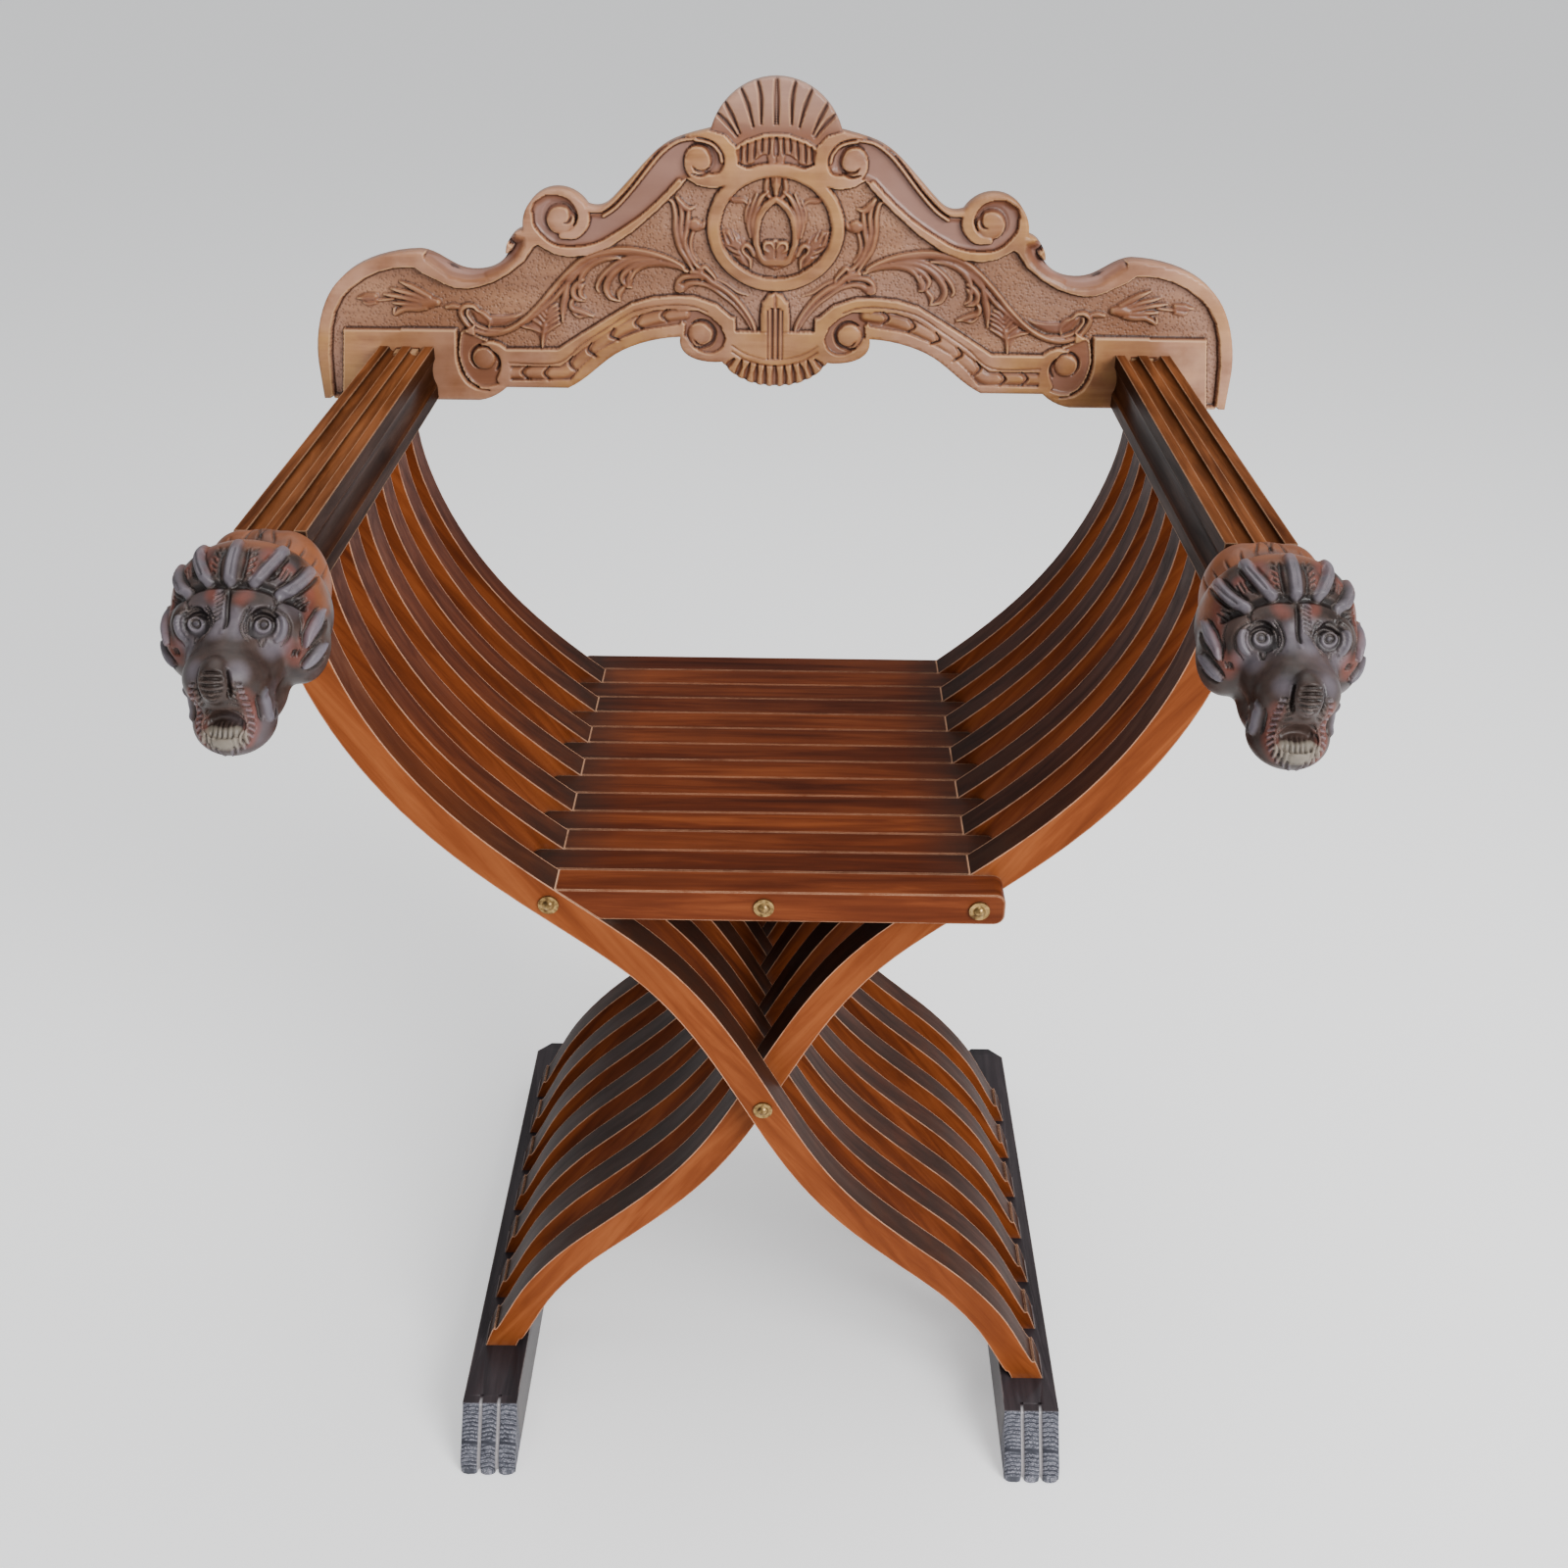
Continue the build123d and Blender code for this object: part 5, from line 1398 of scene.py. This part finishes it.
        ("m", [(5, -257.5, 660), (3.5, -253.5, 653)]),
        ("m", [(7.5, -258.5, 694.5), (10, -256.5, 691.5)]),
        ("m", [(7, -259, 691.5), (10.5, -256.5, 688)]),
        ("m", [(6.5, -258.5, 688.5), (10, -255.5, 684.5)]),
        ("m", [(6, -257, 684.5), (9.5, -253.5, 680.5)]),
    ],
    "flew lock": [
        ("m", [(10.5, -256, 693.5), (13.5, -254, 692.5)]),
        ("m", [(11, -256, 690.5), (14, -254, 689)]),
        ("m", [(11.5, -255.5, 687), (14.5, -252.5, 685)]),
        ("m", [(11.5, -253.5, 682.5), (14, -249.5, 680)]),
        ("m", [(11, -250.5, 677.5), (14, -248, 675.5)]),
        ("m", [(11.5, -250, 674), (14.5, -248, 672)]),
        ("m", [(11.5, -251, 671), (15, -250, 669)]),
        ("m", [(12, -252.5, 668.5), (15, -251.5, 666)]),
        ("m", [(11.5, -254, 666), (14, -253, 663)]),
        ("m", [(11, -255, 664), (11.5, -254.5, 660)]),
        ("m", [(9, -256.5, 662), (9.5, -254.5, 657)]),
        ("m", [(7, -257, 660.5), (5.5, -255, 655)]),
        ("m", [(4, -257.5, 659), (1.5, -252.5, 651.5)]),
    ],
    "jaw lock": [
        ("m", [(19.5, -243, 683.5), (19, -240.5, 676), (19.5, -241, 669)]),
    ],
    "amber": [
        ("m", [(0.5, -182.5, 741), (12, -179.5, 738.5), (19, -161.5, 727)]),
        ("m", [(28.5, -161, 717.5), (37, -183.5, 719.5), (39.5, -188, 714)]),
        ("m", [(8, -150, 735), (26, -150, 722), (35, -152, 700)]),
    ],
    # Painted highlights between the eyes, on the nose and below the eyes.
    "bloom": [
        ("o", [(-4, -221.5, 719), (-3.5, -231.5, 712)]),
        ("o", [(3.5, -223.5, 716), (5.5, -230.5, 712)]),
        ("m", [(11.5, -251.5, 699.5)]),
        ("m", [(20.5, -227.5, 700.5), (24.5, -222.5, 700.5)]),
        ("m", [(11.5, -224, 711), (13.5, -221.5, 715)]),
    ],
    "rib": [
        ("c", [(-6.2, -259.5, 703), (6.2, -259.5, 703)]),
        ("c", [(-6.2, -260.4, 699.7), (6.2, -260.4, 699.7)]),
        ("c", [(-6.2, -261.3, 696.4), (6.2, -261.3, 696.4)]),
        ("c", [(-6.2, -262.2, 693.1), (6.2, -262.2, 693.1)]),
        ("c", [(-6.2, -263.1, 689.8), (6.2, -263.1, 689.8)]),
        ("c", [(-6.2, -263.1, 686.5), (6.2, -263.1, 686.5)]),
        ("c", [(-6.2, -262.3, 683.2), (6.2, -262.3, 683.2)]),
    ],
    "nostril": [
        ("m", [(7.6, -253, 704), (8, -256, 698), (8.4, -258.5, 691), (7.8, -260.5, 685.5)]),
    ],
    "tooth cut": [("c", line) for line in TOOTH_CUTS],
    "ivory": [
        ("c", [(-6.4, -254, 664), (0, -256, 663.5), (6.4, -254, 664)]),
    ],
    "gap": [
        ("c", [(-9.5, -251, 673.5), (-5, -255, 675.5), (0, -256.5, 676), (5, -255, 675.5),
              (9.5, -251, 673.5)]),
    ],
}
# What each tool leaves: half width, height (below nought is cut away), how full and how soft
# its section is, how its ends run out, and the colour it brings with its strength.
HEAD_TOOLS = {
    "lock": (3.5, 2.7, (3.2, 0.8), "blunt", ("pale", 0.8)),
    "lock groove": (1.2, -1.5, (1, 1.2), "sharp", None),
    "valley": (2.0, -2.4, (1, 1.3), "sharp", None),
    "hair": (1.1, -1.9, (1, 1), "sharp", None),
    "hairline": (3.2, -2.2, (2, 1.3), "blunt", None),
    "brow groove": (1.7, -2.4, (1.5, 1), "sharp", None),
    "brow ridge": (2.0, 0.8, (2, 1), "sharp", ("pale", 0.7)),
    "red": (5.5, 0, (2, 1.5), "blunt", ("red", 0.85)),
    "pale": (3.0, 0.3, (2, 1.5), "blunt", ("pale", 0.55)),
    "amber": (14.0, 0, (2, 1.2), "blunt", ("amber", 1.0)),
    "ivory": (5.2, 0.3, (6, 1), "blunt", ("ivory", 1.0)),
    "socket": (8.6, -2.6, (4.0, 1.1), "blunt", ("pale", 0.8)),
    "lid shade": (2.2, -2.6, (1.7, 1), "sharp", None),
    "eyeball": (5.4, 2.2, (2.2, 0.9), "blunt", ("pale", 0.6)),
    "ring cut": (1.0, -1.7, (1, 1), "blunt", None),
    "pupil": (1.5, -0.7, (2, 1), "blunt", ("pale", 1.0)),
    "ring": (0.9, 0.9, (2, 1), "blunt", ("pale", 1.0)),
    "lid cut": (1.05, -2.0, (1, 1), "sharp", None),
    "lid": (3.4, 1.3, (3, 1), "sharp", ("pale", 0.8)),
    "leaf": (3.7, 2.0, (2.4, 0.8), "pointed", ("pale", 1.0)),
    "leaf vein": (0.7, -0.8, (1, 1), "sharp", None),
    "flew cut": (1.1, -1.7, (1, 1), "sharp", None),
    "flew lock": (1.1, 0.8, (1.6, 1), "sharp", ("pale", 0.7)),
    # bloom lays a painted highlight and cuts nothing.
    "bloom": (8.0, 0, (2, 1.4), "blunt", ("pale", 0.6)),
    "jaw lock": (3.3, 2.0, (3, 0.8), "blunt", ("pale", 0.9)),
    "rib": (1.25, -2.5, (1.4, 1), "blunt", None),
    "gap": (2.6, -2.4, (2, 1), "sharp", None),
    "nostril": (1.5, -3.4, (1.3, 1), "sharp", None),
    "tooth cut": (1.0, -1.8, (1.2, 1), "blunt", None),
}


def stroke_points(given, step=0.5):
    if len(given) == 1:
        return given, np.full(1, 0.5)
    along = np.concatenate([[0], np.cumsum(np.linalg.norm(np.diff(given, axis=0), axis=1))])
    places = np.linspace(0, along[-1], max(3, int(along[-1] / step)))
    line = np.stack([np.interp(places, along, given[:, k]) for k in range(3)], axis=1)
    for _ in range(6 if len(given) > 2 else 0):
        line[1:-1] = (line[:-2] + line[2:] + 2 * line[1:-1]) / 4
    return line, places / max(along[-1], 0.001)


def work_stroke(skin, facing, tool, points, height, colours):
    half, rise, (full, soft), ends, colour = HEAD_TOOLS[tool]
    line, along = stroke_points(points)
    near = np.all((skin > line.min(0) - half * 1.6) & (skin < line.max(0) + half * 1.6), axis=1)
    near = np.nonzero(near)[0]
    if not len(near):
        return
    gap = skin[near, None] - line[None]
    lift = np.einsum("ijk,ik->ij", gap, facing[near])
    flat = np.sqrt(np.maximum(np.einsum("ijk,ijk->ij", gap, gap) - 0.85 * lift * lift, 0))
    closest = flat.argmin(axis=1)
    away = flat[np.arange(len(near)), closest]
    place = along[closest]
    width = half
    if ends == "sharp":
        width = half * np.clip(5 * np.minimum(place, 1 - place) + 0.25, 0, 1)
    if ends == "pointed":
        width = half * np.sqrt(np.clip(1 - (2 * place - 1) ** 2, 0.01, 1))
    shape = np.clip(1 - (away / width) ** full, 0, 1) ** soft
    height[near] += rise * shape
    if colour:
        name, strength = colour
        colours[name][near] = np.maximum(colours[name][near], strength * shape)


def carve_head(head):
    mesh = head.data
    count = len(mesh.vertices)
    skin, facing = np.empty(count * 3), np.empty(count * 3)
    mesh.vertices.foreach_get("co", skin)
    mesh.vertices.foreach_get("normal", facing)
    skin, facing = skin.reshape(-1, 3) * 1000, facing.reshape(-1, 3)
    height = np.zeros(count)
    colours = {name: np.zeros(count) for name in ("pale", "red", "amber", "ivory")}
    for tool, strokes in HEAD_CARVING.items():
        for mark, points in strokes:
            for side in (1, -1) if mark == "m" else (1,):
                work_stroke(skin, facing, tool, np.array(points, float) * (side, 1, 1), height, colours)
    mesh.vertices.foreach_set("co", ((skin + facing * height[:, None]) / 1000).ravel())
    mesh.update()
    keep_marks(mesh, **colours, cut=height)


def carved_head_wood():
    """Near-black stain, rubbed pale on the high locks and lids, with a painted blue-grey sheen there and
    in patches; red and amber where it has worn through, ivory paint on the teeth, painted shade in the cuts."""
    b, lay_on = blank_finish("carved head wood", shine=0.28)
    here = b.here()
    cloud = b.noise(here, 55.0)
    broad = b.noise(b.place(here, shift=(0.3, 0.1, 0.2)), 24.0, 3.0, 0.55)
    wood = b.blend(b.spread(cloud, 0.35, 0.65), (0.016, 0.0095, 0.0075), (0.05, 0.029, 0.023))
    # Painted sheen: blue-grey patches over the dark wood.
    wood = b.blend(b.spread(broad, 0.5, 0.7, 0.0, 0.5), wood, (0.12, 0.1, 0.115))
    patchy = b.spread(cloud, 0.25, 0.6, 0.55, 1.0)
    for name, strength, colour in (
        ("amber", 0.8, (0.24, 0.072, 0.022)),
        ("red", 0.75, (0.16, 0.038, 0.024)),
        # pale: partly wood rubbed pale, partly painted blue-grey sheen and highlights.
        ("pale", 0.75, (0.155, 0.142, 0.172)),
        ("ivory", 0.85, (0.22, 0.19, 0.15)),
    ):
        wood = b.blend(b.times(b.times(b.mark(name), patchy), strength), wood, colour)
    # Painted shade: darker the deeper the carving is cut.
    wood = b.blend(b.spread(b.mark("cut"), -0.2, -1.5, 0.0, 0.92), wood, (0.007, 0.004, 0.0035))
    wood = b.blend(b.mask(worn_edges, here, 0.35), wood, (0.36, 0.27, 0.23))
    return lay_on(wood, b.spread(cloud, 0.3, 0.7, 0.34, 0.5), b.noise(here, 420.0))


def set_head(head, side, middle):
    take_up(head)
    head.name = f"carved_{side}_lion_head"
    head.location = (middle, 0, 0)
    bpy.ops.object.transform_apply(location=True, rotation=True, scale=True)
    bpy.ops.object.shade_smooth()
    stand_in(head, head_wood, f"{side}_frame", f"{side}_lion_head")


head_wood = carved_head_wood()
left_head = rough_out_head()
carve_head(left_head)
right_head = put_out("right head", left_head.data.copy())
take_up(right_head)
right_head.scale = (-1, 1, 1)
bpy.ops.object.transform_apply(location=True, rotation=True, scale=True)
on_all_of(right_head, lambda: bpy.ops.mesh.normals_make_consistent(inside=False))
set_head(left_head, "left", -ARM_MIDDLE)
set_head(right_head, "right", ARM_MIDDLE)


# ---- room, light and camera ---------------------------------------------------------
def lay_floor():
    bpy.ops.mesh.primitive_plane_add(size=60)
    floor = bpy.context.object
    floor.name = "pale_floor"
    finish = bpy.data.materials.new("pale floor paint")
    finish.use_nodes = True
    shader = finish.node_tree.nodes["Principled BSDF"]
    shader.inputs["Base Color"].default_value = (0.95, 0.95, 0.95, 1)
    shader.inputs["Roughness"].default_value = 0.9
    shader.inputs["Emission Color"].default_value = (1, 1, 1, 1)
    shader.inputs["Emission Strength"].default_value = 0.4
    finish_on(floor, finish)


def hang_light(name, place, size, power):
    lamp = bpy.data.lights.new(name, "AREA")
    lamp.size = size
    lamp.energy = power
    stand = put_out(name, lamp)
    stand.location = place
    stand.rotation_euler = (Vector((0, 0, 0.4)) - Vector(place)).to_track_quat("-Z", "Y").to_euler()


def light_room():
    sky = bpy.data.worlds.new("soft room")
    bpy.context.scene.world = sky
    sky.use_nodes = True
    sky.node_tree.nodes["Background"].inputs[0].default_value = (0.95, 0.97, 1, 1)
    sky.node_tree.nodes["Background"].inputs[1].default_value = 0.5
    hang_light("window light", (1.7, -2.1, 1.9), 1.5, 115)
    hang_light("top light", (0.2, 0.2, 2.9), 2.6, 50)


def set_camera():
    yaw, down, roll = -0.0033736, 0.5301196, 0.0119365
    forward = Vector((sin(yaw) * cos(down), cos(yaw) * cos(down), -sin(down)))
    level = Vector((cos(yaw), -sin(yaw), 0))
    upright = level.cross(forward)
    right = cos(roll) * level + sin(roll) * upright
    up = cos(roll) * upright - sin(roll) * level
    lens = bpy.data.cameras.new("camera")
    lens.sensor_fit = "HORIZONTAL"
    lens.sensor_width = 36.0
    lens.lens = 1688.234 / 1600 * lens.sensor_width
    stand = put_out("camera", lens)
    turn = Matrix((right, up, -forward)).transposed().to_4x4()
    stand.matrix_world = Matrix.Translation((0.014739, -0.987686, 1.070359)) @ turn
    bpy.context.scene.camera = stand


lay_floor()
light_room()
set_camera()
